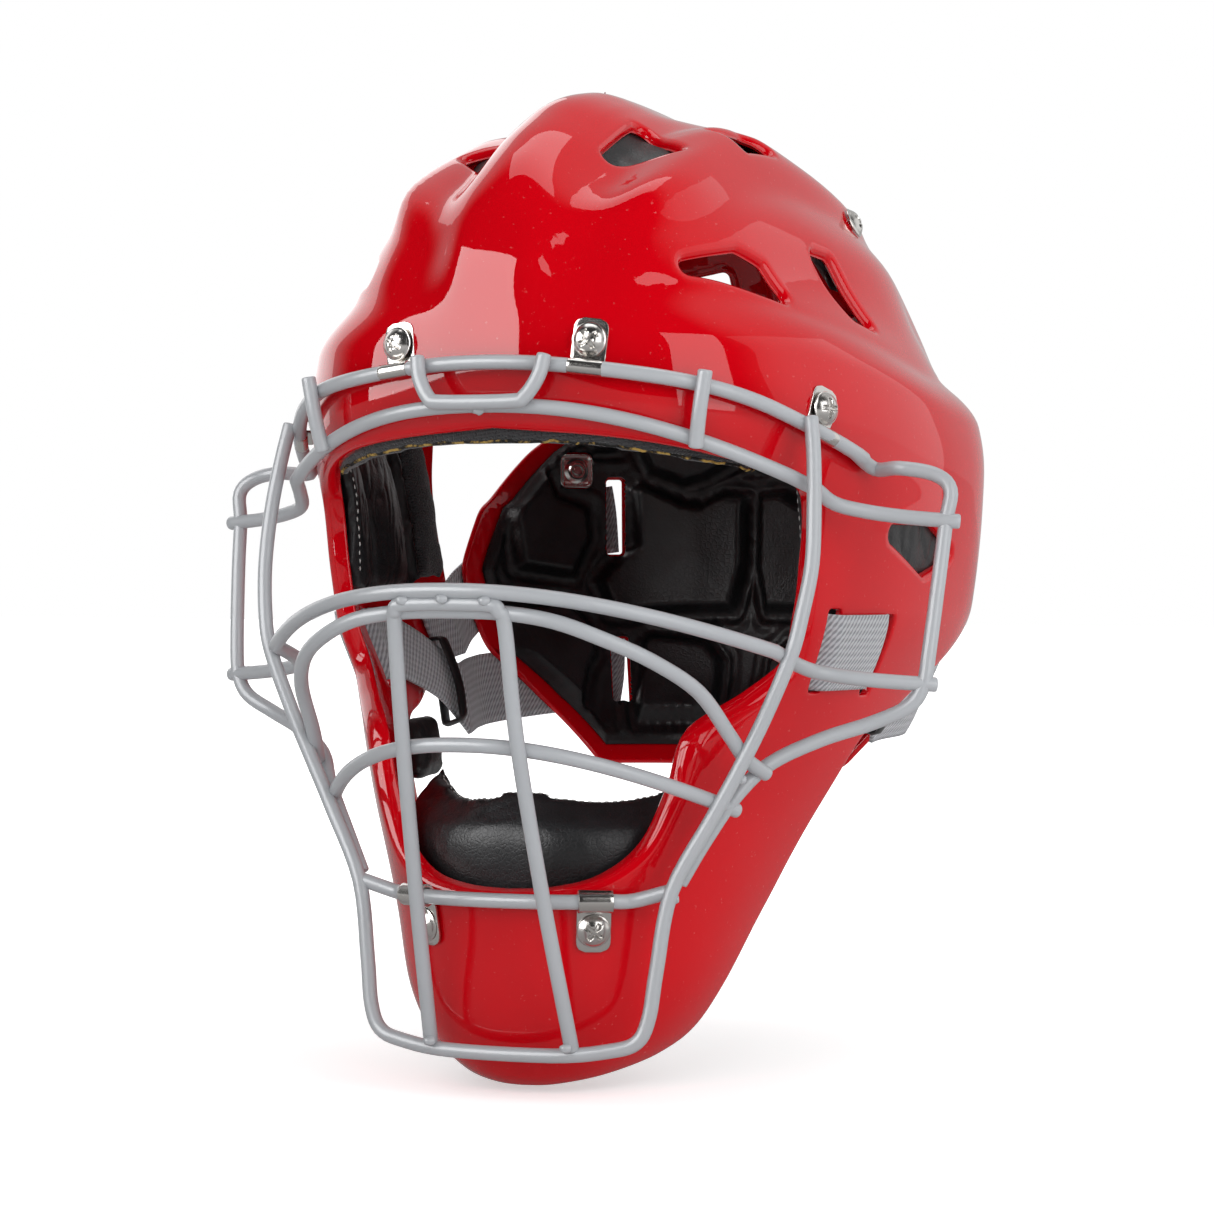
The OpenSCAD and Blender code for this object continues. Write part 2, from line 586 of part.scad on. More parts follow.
module chin_bar() {
    ends = placed([[54.5, -110.5, -110]]);
    core = [for (a = [-chin_bar_turn : 4 : chin_bar_turn]) skin(a, chin_bar_step, wire_lie)];
    color(wire_grey) wire(through_all(concat(mirrored(ends), core, ends), 2), [0, 0.3, 1]);
}

// Elastic straps and their buckles
strap_under = -(shell_wall + 1 + strap_t / 2);
strap_over = seat + strap_t / 2;
plate_over = plate_out + seat + strap_t / 2;
module ribbon(turns, top, tall, middle) {
    patch(turns, top, function (a) top(a) + tall(a), function (a) middle(a) + strap_t / 2,
          function (a) middle(a) - strap_t / 2, 3);
}
buckle_drop = 4.4;
module upper_strap() {
    turns = concat([88, 92, 97, 101], spread(104, 142, 9), [143.7, 144.5, 145.3, 145.9]);
    top = function (a) lookup(a, [[88, 12.75], [100, 12.6], [109, 12.1], [142, 10.5], [147, 10.47]]);
    middle = function (a) strap_under + (plate_over + seat - strap_under) * ramp(100, 106, a)
        - (slot_drop + seat) * ramp(143.8, 146.5, a);
    color(elastic_grey) ribbon(turns, top, level(strap_w / 17.8), middle);
}
slot_drop = strap_t + plate_wall + seat;
function lower_strap_top(a) = lookup(a, [[58, 13], [64, 13.05], [70, 13.3], [90, 14.3], [106, 14.08], [147, 13.82]]);
function lower_strap_middle(a) =
    strap_under + (strap_over - strap_under) * ramp(40.8, 44.2, a) * ramp(58.7, 55.3, a) - buckle_drop * ramp(60, 78, a)
    + (plate_over - strap_under + buckle_drop) * ramp(90, 106, a) - slot_drop * ramp(143.5, 146.4, a);
module lower_strap() {
    turns = concat([38, 40.5, 41, 42, 43, 44], spread(46, 55, 5), [56, 57, 58, 59], spread(62, 90, 9),
                   spread(93, 105, 4), spread(109, 141, 7), [143.4, 144.2, 145.0, 145.6]);
    color(elastic_grey) ribbon(turns, function (a) lower_strap_top(a), level(strap_w / 18),
                               function (a) lower_strap_middle(a));
}
buckle_wall = 2;
buckle_gap = 0.8;
module buckle_ring(turns, side, half) {
    patch(turns, function (a) lower_strap_top(a) - side / 18, function (a) lower_strap_top(a) + (strap_w + side) / 18,
          function (a) lower_strap_middle(a) + half, function (a) lower_strap_middle(a) - half, 3);
}
module strap_buckle() {
    slot = strap_t / 2 + buckle_gap;
    color(black) difference() {
        buckle_ring([80, 82, 84], 4, slot + buckle_wall);
        buckle_ring([79, 81, 83, 85], 1.5, slot);
    }
}

shell();
back_plate();
brow_pad();
crown_pad();
crown_side_pad();  // crown_side_pad_left
mirror([1, 0, 0]) crown_side_pad();  // crown_side_pad_right
temple_pad();  // temple_pad_left
mirror([1, 0, 0]) temple_pad();  // temple_pad_right
jaw_pad();  // jaw_pad_left
mirror([1, 0, 0]) jaw_pad();  // jaw_pad_right
chin_pad();
back_liner();
top_bar();
brow_bar();
brow_stub();
brow_posts();
face_frame();
ear_loop();  // ear_loop_left
mirror([1, 0, 0]) ear_loop();  // ear_loop_right
eye_bar();
cheek_arc();
lower_arc();
nose_guard();
chin_bar();
brow_clips();
temple_clips();
chin_clips();
cage_screws();
cage_nuts();
crown_screws();
crown_nuts();
plate_screws();
plate_nuts();
hinge_brackets();
hinge_pins();
bracket_rivets();
upper_strap();  // upper_strap_left
mirror([1, 0, 0]) upper_strap();  // upper_strap_right
lower_strap();  // lower_strap_left
mirror([1, 0, 0]) lower_strap();  // lower_strap_right
strap_buckle();  // strap_buckle_left
mirror([1, 0, 0]) strap_buckle();  // strap_buckle_right
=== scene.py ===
"""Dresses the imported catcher's mask: shell, cage, padding, straps, metal and the photo stage."""

import math
import random

import bmesh
import bpy
import numpy as np
from bpy.props import FloatProperty, FloatVectorProperty, PointerProperty
from mathutils import Matrix, Vector, noise


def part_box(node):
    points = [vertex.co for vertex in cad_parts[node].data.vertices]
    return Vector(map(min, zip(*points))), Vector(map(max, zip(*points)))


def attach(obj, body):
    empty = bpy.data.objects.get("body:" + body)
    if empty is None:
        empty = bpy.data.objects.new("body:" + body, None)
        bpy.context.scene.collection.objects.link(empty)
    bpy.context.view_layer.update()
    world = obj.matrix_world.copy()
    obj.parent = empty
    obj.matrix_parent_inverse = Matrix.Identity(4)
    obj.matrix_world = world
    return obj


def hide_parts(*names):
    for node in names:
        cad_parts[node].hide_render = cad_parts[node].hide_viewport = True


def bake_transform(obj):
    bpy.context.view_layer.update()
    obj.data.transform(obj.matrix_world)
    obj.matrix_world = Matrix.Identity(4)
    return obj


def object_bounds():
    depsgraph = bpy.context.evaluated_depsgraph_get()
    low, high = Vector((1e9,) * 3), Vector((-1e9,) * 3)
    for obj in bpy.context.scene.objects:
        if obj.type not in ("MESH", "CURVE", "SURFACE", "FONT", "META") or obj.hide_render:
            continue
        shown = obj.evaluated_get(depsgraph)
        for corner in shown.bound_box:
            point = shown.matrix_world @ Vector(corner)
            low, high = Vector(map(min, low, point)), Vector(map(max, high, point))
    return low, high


bl_info = {
    "name": "Catcher's mask dresser",
    "version": (1, 0, 0),
    "blender": (4, 5, 0),
    "location": "View3D > Sidebar > Mask",
    "description": "Builds the finished pieces of a hockey-style catcher's mask over its packed frame",
    "category": "Object",
}

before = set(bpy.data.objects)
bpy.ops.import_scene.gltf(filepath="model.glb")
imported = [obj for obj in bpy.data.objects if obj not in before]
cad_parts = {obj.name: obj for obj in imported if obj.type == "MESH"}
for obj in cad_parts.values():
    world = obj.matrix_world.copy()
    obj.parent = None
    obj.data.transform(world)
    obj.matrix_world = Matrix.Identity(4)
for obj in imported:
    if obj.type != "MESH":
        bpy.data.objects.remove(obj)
CAD_BOX = [list(corner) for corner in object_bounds()]
MM = 0.001


# ---------------------------------------------------------------- sizes and colours

def linear(r, g, b):
    """Scene colour of an 8-bit display colour."""
    return tuple(c / 12.92 if c <= 0.04045 else ((c + 0.055) / 1.055) ** 2.4 for c in (r / 255, g / 255, b / 255))


def length(name, default, about):
    """A size of the panel, given in mm."""
    return FloatProperty(name=name, description=about, default=default * MM, min=0.1 * MM, unit="LENGTH")


def colour(name, default, about):
    return FloatVectorProperty(name=name, description=about, default=linear(*default), min=0, max=1, size=3,
                               subtype="COLOR")


class HeadgearSizes(bpy.types.PropertyGroup):
    wall: length("Shell wall", 3.0, "Thickness of the moulded shell")
    lip: length("Rolled lip", 3.2, "Radius of the lip rolled round the face opening and the vents")
    plate: length("Plate wall", 2.5, "Thickness of the back plate")
    wire: length("Cage wire", 4.8, "Diameter of the cage's coated wire")
    clip: length("Clip strip", 1.2, "Thickness of the strip that the cage clips are bent from")
    head: length("Screw head", 11.0, "Diameter of the domed screw heads")
    head_rise: length("Screw head height", 3.0, "Height of the domed screw heads")
    nut: length("Nut plate", 13.0, "Side of the square nut plates")
    nut_thick: length("Nut plate thickness", 1.2, "Thickness of the square nut plates")
    strap: length("Strap width", 26.0, "Width of the woven elastic")
    strap_thick: length("Strap thickness", 1.6, "Thickness of the woven elastic")
    pad: length("Pad thickness", 9.0, "Thickness of the padding inside the shell")
    liner: length("Liner thickness", 8.4, "Height of the back liner's padded panels")


class HeadgearColours(bpy.types.PropertyGroup):
    shell: colour("Shell", (196, 2, 16), "Gloss plastic of the shell and the back plate")
    cage: colour("Cage", (165, 168, 172), "Powder coat on the cage wire")
    elastic: colour("Elastic", (182, 184, 189), "Woven elastic of the straps")
    leather: colour("Leather", (21, 21, 23), "Worn high spots of the black leather")
    knit: colour("Knit", (56, 56, 58), "Bright yarn of the brow pad's knit")
    thread: colour("Thread", (205, 205, 202), "Stitching thread")
    plating: colour("Plating", (212, 209, 205), "Bright metal of clips, screws and nuts")


class Measures:
    """The panel's sizes in mm, and the sizes that follow from them."""

    def __getattr__(self, name):
        return getattr(bpy.context.scene.headgear_sizes, name) / MM

    wire_lie = property(lambda self: self.wire / 2 + self.clip + SEAT)
    nut_sag = property(lambda self: self.nut ** 2 / 150)
    strap_under = property(lambda self: -(self.wall + 1 + self.strap_thick / 2))
    strap_over = property(lambda self: SEAT + self.strap_thick / 2)
    plate_over = property(lambda self: PLATE_OUT + SEAT + self.strap_thick / 2)
    slot_drop = property(lambda self: self.strap_thick + self.plate + SEAT)
    pad_out = property(lambda self: -(self.wall + 0.9))


mm = Measures()


def chosen(name):
    """A colour of the panel."""
    return tuple(getattr(bpy.context.scene.headgear_colours, name))


# ---------------------------------------------------------------- the shell's form

# Rows down the shell, in mm: height, half width, front, back, centre, roundness
ROWS = np.array([
    [149, 0.1, -32, -32, -32, 2.0], [147.5, 18, -50, 10, -25, 2.0], [144, 33, -66, 48, -16, 2.0],
    [138, 42, -80, 69, -9, 2.05], [128, 51, -98, 89, 0, 2.1], [111, 68, -119, 110, 5, 2.2],
    [92, 83, -129, 127, 12, 2.2], [74, 94, -131, 132, 15, 2.2], [58, 99, -131, 132, 17, 2.2],
    [44, 103, -130, 132, 22, 2.2], [30, 105, -129, 132, 29, 2.1], [14, 104, -128, 131, 34, 2.05],
    [-4, 102, -128, 130, 36, 2.05], [-22, 99, -129, 128, 38, 2.05], [-40, 95, -131, 124, 38, 2.1],
    [-58, 91, -132, 118, 34, 2.15], [-78, 83, -130, 105, 22, 2.25], [-98, 73, -125, 90, 2, 2.4],
    [-122, 62, -119, 60, -33, 2.4], [-146, 53, -117, 20, -54, 2.4], [-162, 44, -114, 0, -60, 2.3],
    [-172, 32, -109, -20, -66, 2.2], [-177, 20, -102, -40, -72, 2.1]])
LAST = len(ROWS) - 1
# The rows again with one more at each end, which the curve through them needs
OVER_POLE = ROWS[1] * [1, -1, 1, 1, 1, 1]
OVER_POLE[2], OVER_POLE[3] = ROWS[1][3], ROWS[1][2]
ROWS_AROUND = np.vstack([OVER_POLE, ROWS, 2 * ROWS[-1] - ROWS[-2]])
low_corner, high_corner = (np.array(c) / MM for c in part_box("shell"))
DRAWN_SIZE = (224.0, 263.3, 331.0)
FORM = (high_corner - low_corner) / DRAWN_SIZE
# In mm: height of the ribs, gap under a part that lies on the skin, and offset of the back plate's outside
RELIEF = 5.0
SEAT = 0.4
PLATE_OUT = -5.0


def bell(d, w):
    """A hump of height 1 at d = 0 that ends at a distance w."""
    q = np.minimum(np.abs(d) / w, 1)
    return (1 - q * q) ** 2


def ramp(a, b, v):
    """A smooth rise from 0 where v is a to 1 where v is b."""
    q = np.clip((np.asarray(v, float) - a) / (b - a), 0, 1)
    return q * q * (3 - 2 * q)


def through(p0, p1, p2, p3, f):
    """The place at share f between p1 and p2 of a smooth curve through all four."""
    return 0.5 * (2 * p1 + (p2 - p0) * f + (2 * p0 - 5 * p1 + 4 * p2 - p3) * f * f
                  + (3 * p1 - p0 - 3 * p2 + p3) * f * f * f)


def row(t):
    """The values of ROWS at step t."""
    i = np.clip(np.floor(t), 0, LAST - 1).astype(int)
    return through(*(ROWS_AROUND[i + k] for k in range(4)), (t - i)[..., None])


def egg(a, t):
    """Points of the plain form at turn a and step t, without ribs."""
    a, t = np.broadcast_arrays(np.asarray(a, float), np.asarray(t, float))
    r, s, c = row(t), np.sin(np.radians(a)), np.cos(np.radians(a))
    depth = np.where(c > 0, r[..., 4] - r[..., 2], r[..., 3] - r[..., 4])
    k = r[..., 5]
    across, along_y = np.abs(s / np.maximum(r[..., 1], 0.1)), np.abs(c / np.maximum(depth, 0.1))
    reach = (across ** k + along_y ** k) ** (-1 / k)
    return np.stack([reach * s, r[..., 4] - reach * c, r[..., 0]], -1) * FORM


def unit(v):
    v = np.asarray(v, float)
    return v / np.maximum(np.linalg.norm(v, axis=-1, keepdims=True), 1e-12)


def facing(a, t):
    """Direction straight out of the plain form."""
    u = np.maximum(t, 0.05)
    return unit(np.cross(egg(a, u + 0.02) - egg(a, u - 0.02), egg(a + 0.5, u) - egg(a - 0.5, u)))


def relief(p):
    """Height of the ribs and valleys at points p of the plain form."""
    x, y, z = np.abs(p[..., 0]) / FORM[0], p[..., 1] / FORM[1], p[..., 2] / FORM[2]
    belt = 73 - 23 * ramp(-110, 50, y)
    return RELIEF * (
        bell(x, 17) * ramp(100, 125, z)
        - bell(x - 28, 16) * ramp(104, 122, z) * (1 - 0.8 * ramp(-50, -5, y)) * ramp(125, 60, y)
        + bell(x - 44 - 10 * ramp(-60, 60, y), 15) * ramp(100, 116, z) * ramp(110, 60, y)
        - bell(x - 28, 18) * bell(z - 95, 26) * ramp(-90, -115, y)
        + 1.4 * ramp(22, 62, x) * ramp(10, -10, z - belt) * ramp(-60, -20, z)
        - bell(z - belt - 26, 26) * ramp(60, 84, x) * ramp(-112, -85, y) * ramp(100, 60, y))


def skin(a, t, off=0.0):
    """Points of the shell's skin at turn a and step t, raised by off along its normal, in mm."""
    a, t = np.broadcast_arrays(np.asarray(a, float), np.asarray(t, float))
    p = egg(a, t)
    return p + facing(a, t) * (relief(p) + off)[..., None]


def outward(a, t):
    """Direction straight out of the finished skin, ribs and valleys included."""
    a, t = np.broadcast_arrays(np.asarray(a, float), np.asarray(t, float))
    u = np.maximum(t, 0.08)
    return unit(np.cross(skin(a, u + 0.04) - skin(a, u - 0.04), skin(a + 0.4, u) - skin(a - 0.4, u)))


def skin_frame(a, t, off=0.0):
    """Origin and axes of a place on the skin: X along it, Y up it, Z outward."""
    o, e, w = skin(a, t, off), skin(a, t - 0.1, off), skin(a + 1.0, t, off)
    z = unit(np.cross(unit(w - o), unit(e - o)))
    x = unit(w - o)
    return o, np.stack([x, np.cross(z, x), z])


def locate(project, targets, between=((0, 180), (0, LAST))):
    """Turn and step of the skin points that project on each target point."""
    (a0, a1), (t0, t1) = between
    grid_a, grid_t = np.meshgrid(np.linspace(a0, a1, 91), np.linspace(t0, t1, 111))
    seen = project(skin(grid_a, grid_t)).reshape(-1, 2)
    targets = np.asarray(targets, float)
    near = np.linalg.norm(seen[None] - targets[:, None], axis=-1).argmin(1)
    a, t = grid_a.ravel()[near], grid_t.ravel()[near]
    for _ in range(12):
        p = project(skin(a, t))
        da, dt, r = project(skin(a + 0.1, t)) - p, project(skin(a, t + 0.01)) - p, targets - p
        det = da[:, 0] * dt[:, 1] - da[:, 1] * dt[:, 0]
        det = np.where(np.abs(det) < 1e-9, 1e-9, det)
        a = a + 0.1 * np.clip((r[:, 0] * dt[:, 1] - r[:, 1] * dt[:, 0]) / det, -30, 30)
        t = np.clip(t + 0.01 * np.clip((da[:, 0] * r[:, 1] - da[:, 1] * r[:, 0]) / det, -30, 30), 0, LAST)
    return np.stack([a, t], 1)


def smooth_line(points, steps):
    """A curve through points, with that many steps between each two."""
    p = np.asarray(points, float)
    p = np.vstack([2 * p[0] - p[1], p, 2 * p[-1] - p[-2]])
    out = [through(p[i], p[i + 1], p[i + 2], p[i + 3], f)
           for i in range(len(p) - 3) for f in np.arange(steps) / steps]
    return np.array(out + [p[-2]])


def along(points, count, closed=False):
    """The line resampled at equal distances."""
    p = np.vstack([points, points[:1]]) if closed else np.asarray(points)
    s = np.concatenate([[0], np.cumsum(np.linalg.norm(np.diff(p, axis=0), axis=1))])
    at = np.linspace(0, s[-1], count + 1)[:-1] if closed else np.linspace(0, s[-1], count)
    return np.stack([np.interp(at, s, p[:, k]) for k in range(p.shape[1])], 1)


def rounded(corners, r, count=96):
    """The outline of a flat polygon grown by r, so that its corners are round."""
    c = np.asarray(corners, float)
    if np.sum(c[:, 0] * np.roll(c[:, 1], -1) - c[:, 1] * np.roll(c[:, 0], -1)) < 0:
        c = c[::-1]
    out = []
    for i in range(len(c)):
        before, after = unit(c[i] - c[i - 1]), unit(c[(i + 1) % len(c)] - c[i])
        start = math.atan2(-before[0], before[1])
        swing = (math.atan2(-after[0], after[1]) - start) % (2 * math.pi)
        out += [c[i] + r * np.array([math.cos(start + swing * k / 10), math.sin(start + swing * k / 10)])
                for k in range(11)]
    return along(np.array(out), count, True)


def inside(points, outline):
    """Which of the flat points lie inside the closed outline."""
    x, y = points[:, 0], points[:, 1]
    hit = np.zeros(len(points), bool)
    for (x0, y0), (x1, y1) in zip(outline, np.roll(outline, -1, 0)):
        if y0 != y1:
            hit ^= ((y0 > y) != (y1 > y)) & (x < (x1 - x0) * (y - y0) / (y1 - y0) + x0)
    return hit


# ---------------------------------------------------------------- outlines on the skin

# In mm, the face opening seen from the front as x and z, and the lower edge seen from the side as y and z
FACE = [[0, 37], [35, 34], [64, 29], [84, 21], [87, 10], [84, -17], [78, -38], [69, -49],
        [56, -61], [51.5, -79], [44, -97], [32, -107], [16, -111], [0, -112]]
TRIM = [[50, 62], [57, 37], [58, 16], [61, -15], [60, -25], [40, -41], [9, -57], [-9, -63], [-22, -79],
        [-35, -103], [-43, -120], [-57, -144], [-67, -160], [-80, -168]]
# The rear edge of the crown as y and z
REAR_EDGE = np.array([[50, 62], [80, 59], [110, 56.5], [150, 56.5]])
CHIN_TIP = 21.68
# Corners of the holes, and middles of the slots, as turn and step
VENTS = [[[30, 2.35], [17, 3.75], [31, 3.7]],
         [[61, 3], [88, 3], [87, 3.5], [62, 3.55]],
         [[27, 6.12], [37, 5.9], [42, 6.05], [44.5, 6.45]],
         [[65, 5.7], [71, 5.75], [75.5, 6.75], [69, 6.6]],
         [[168, 5.5], [174, 5.4], [174, 5.9], [167, 5.9]]]
EAR_HOLE = [[57.5, 11.55], [71, 11.55], [79, 11.9], [69, 12.15]]
STRAP_SLOTS = [(42.5, 13.7), (57, 13.8)]
PLATE_SLOTS = [(145.5, 11.2), (144.5, 14.6)]
# In mm: a slot's width and height, the radius of its corners, and the radius of a plain rounded edge
SLOT = (6.6, 29)
SLOT_CORNER = 1.2
EDGE = 0.9


def front_view(p):
    return p[..., [0, 2]]


def side_view(p):
    return p[..., [1, 2]]


def sideways(line):
    """Unit vectors across a flat line, to the left of its run."""
    run = unit(np.gradient(line, axis=0))
    return np.stack([-run[:, 1], run[:, 0]], 1)


def face_outline(grow):
    """One half of the face opening as turn and step, grown by that many mm."""
    line = along(smooth_line(np.array(FACE) * FORM[[0, 2]], 8), 160)
    out = sideways(line)
    out[[0, -1]] = [[0, 1], [0, -1]]
    line = line + out * np.asarray(grow)[..., None]
    found = locate(front_view, line, ((0, 80), (4, 21)))
    found[[0, -1], 0] = 0
    return found


def edge_step(turn, line):
    """Step at which a meridian of the skin crosses a line drawn in the side view."""
    t = np.linspace(5, 13, 801)
    p = skin(turn, t)
    over = p[:, 2] - np.interp(p[:, 1], line[:, 0], line[:, 1])
    k = int(np.argmax(over < 0))
    return np.interp(0, [over[k], over[k - 1]], [t[k], t[k - 1]])


def trim_outline(grow):
    """One half of the shell's rear and lower edge as turn and step, drawn in by that many mm."""
    rear = REAR_EDGE * FORM[1:] + [0, -grow]
    turns = np.linspace(180, 112, 40)
    back = [[a, edge_step(a, rear)] for a in turns]
    line = along(smooth_line(np.array(TRIM) * FORM[1:], 6), 150)
    side = locate(side_view, line + sideways(line) * -grow, ((12, 150), (5, 21.9)))
    side = side[side[:, 0] < 110]
    bottom = smooth_line([side[-6], side[-1], [27, 21.35], [14, 21.62], [0, CHIN_TIP]], 8)[9:]
    return np.vstack([back, side[2:], bottom])


def on_frame(a, t, points):
    """Turn and step of points given flat, in mm, on the skin's tangent plane at (a, t)."""
    o, axes = skin_frame(a, t)
    near = ((a - 32, a + 32), (max(t - 3.5, 0), min(t + 3.5, LAST)))
    return locate(lambda p: (p - o) @ axes[:2].T, points, near)


def vent_outline(corners, grow):
    """A hole's outline with round corners, from its corners grown by that many mm."""
    c = np.mean(corners, 0)
    o, axes = skin_frame(*c)
    flat = (skin(*np.array(corners, float).T) - o) @ axes[:2].T
    return on_frame(*c, rounded(flat, grow))


def slot_outline(at, grow):
    """A strap slot's outline, grown by that many mm."""
    w, h = SLOT[0] / 2 - SLOT_CORNER, SLOT[1] / 2 - SLOT_CORNER
    return on_frame(*at, rounded([[-w, -h], [w, -h], [w, h], [-w, h]], SLOT_CORNER + grow))


# ---------------------------------------------------------------- moulded sheets

def new_object(name, bm, angle=None):
    """Turns the bmesh into an object of the scene, smooth except for edges sharper than the angle."""
    mesh = bpy.data.meshes.new(name)
    bm.normal_update()
    bm.to_mesh(mesh)
    bm.free()
    for p in mesh.polygons:
        p.use_smooth = True
    piece = bpy.data.objects.new(name, mesh)
    bpy.context.scene.collection.objects.link(piece)
    if angle:
        mesh.set_sharp_from_angle(angle=math.radians(angle))
    return piece


def flat_points(verts):
    return np.array([v.co[:2] for v in verts])


def chain_of(verts):
    """The cut edge's vertices in order, and whether they close a loop."""
    left = set(verts)
    def nexts(v):
        return [e.other_vert(v) for e in v.link_edges
                if e.is_boundary and e.other_vert(v) in left and not on_seam(e)]
    start = next((v for v in left if len(nexts(v)) == 1), next(iter(left)))
    chain, closed = [start], len(nexts(start)) == 2
    left.discard(start)
    while True:
        ahead = nexts(chain[-1])
        if not ahead:
            return chain, closed
        chain.append(ahead[0])
        left.discard(ahead[0])


def on_seam(e):
    """Whether an edge lies on the middle of the mask, where the halves join."""
    a, b = e.verts
    return abs(a.co.x - b.co.x) < 1e-6 and min(a.co.x % 180, 180 - a.co.x % 180) < 1e-6


def follow(chain, closed, outline):
    """Slides the chain's vertices onto the outline, at even distances."""
    line = np.vstack([outline, outline[:1]]) if closed else outline
    line = np.stack([np.interp(np.linspace(0, len(line) - 1, 12 * len(line)), np.arange(len(line)), line[:, k])
                     for k in (0, 1)], 1)
    solid = skin(line[:, 0], line[:, 1])
    s = np.concatenate([[0], np.cumsum(np.linalg.norm(np.diff(solid, axis=0), axis=1))])
    at = flat_points(chain)
    near = np.linalg.norm(solid[None] - skin(at[:, 0], at[:, 1])[:, None], axis=-1).argmin(1)
    place, whole = s[near], s[-1]
    if closed:
        step = (np.diff(place) + whole / 2) % whole - whole / 2
        place = place[0] + np.concatenate([[0], np.cumsum(step)])
        turnabout = whole if place[-1] > place[0] else -whole
        for _ in range(14):
            place = (np.roll(place, -1) + np.roll(place, 1) + [turnabout * ((i == len(place) - 1) - (i == 0))
                                                               for i in range(len(place))]) / 2 * 0.6 + place * 0.4
        place = place % whole
    else:
        place[0], place[-1] = (0, whole) if place[0] < place[-1] else (whole, 0)
        for _ in range(20):
            place[1:-1] = 0.4 * place[1:-1] + 0.3 * (place[2:] + place[:-2])
    for v, p in zip(chain, place):
        v.co = (np.interp(p, s, line[:, 0]), np.interp(p, s, line[:, 1]), 0)
    if not closed:
        for v in (chain[0], chain[-1]):
            v.co.x = 0 if v.co.x < 90 else 180


def relax(bm, chain, rings=5, times=8):
    """Evens the cells near a cut edge."""
    fixed, ring, near = set(chain), set(chain), set()
    for _ in range(rings):
        ring = {e.other_vert(v) for v in ring for e in v.link_edges} - near - fixed
        near |= ring
    near = [v for v in near if not any(e.is_boundary for e in v.link_edges)]
    for _ in range(times):
        bmesh.ops.smooth_vert(bm, verts=near, factor=0.5, use_axis_x=True, use_axis_y=True)


# Rings of a rolled lip, as shares of its radius that it reaches into the hole and drops below the skin.
# From the sixth ring on it has its full depth, changed by the third number in mm.
LIP = [(math.sin(math.radians(18 * k)), 1 - math.cos(math.radians(18 * k)), 0.0) for k in range(1, 6)] + [
    (1.0, 0.0, -0.8), (1.0, 0.0, -0.22), (0.8, 0.0, 0.0), (0.25, 0.0, 0.0)]
CUTS = len(LIP)


def rim_point(k, roll, deep, lip):
    """Reach and depth of ring k round a rim."""
    if lip:
        b, h, up = LIP[k - 1]
        return (roll * b, roll * h) if k < 6 else (roll * b - (0.2 if k == 7 else 0), deep + up)
    turn = math.radians(22.5 * min(k, CUTS + 1 - k))
    b, h = EDGE * math.sin(turn), EDGE * (1 - math.cos(turn))
    return (b, h) if k < 5 else (EDGE, deep / 2) if k == 5 else (b, deep - h)


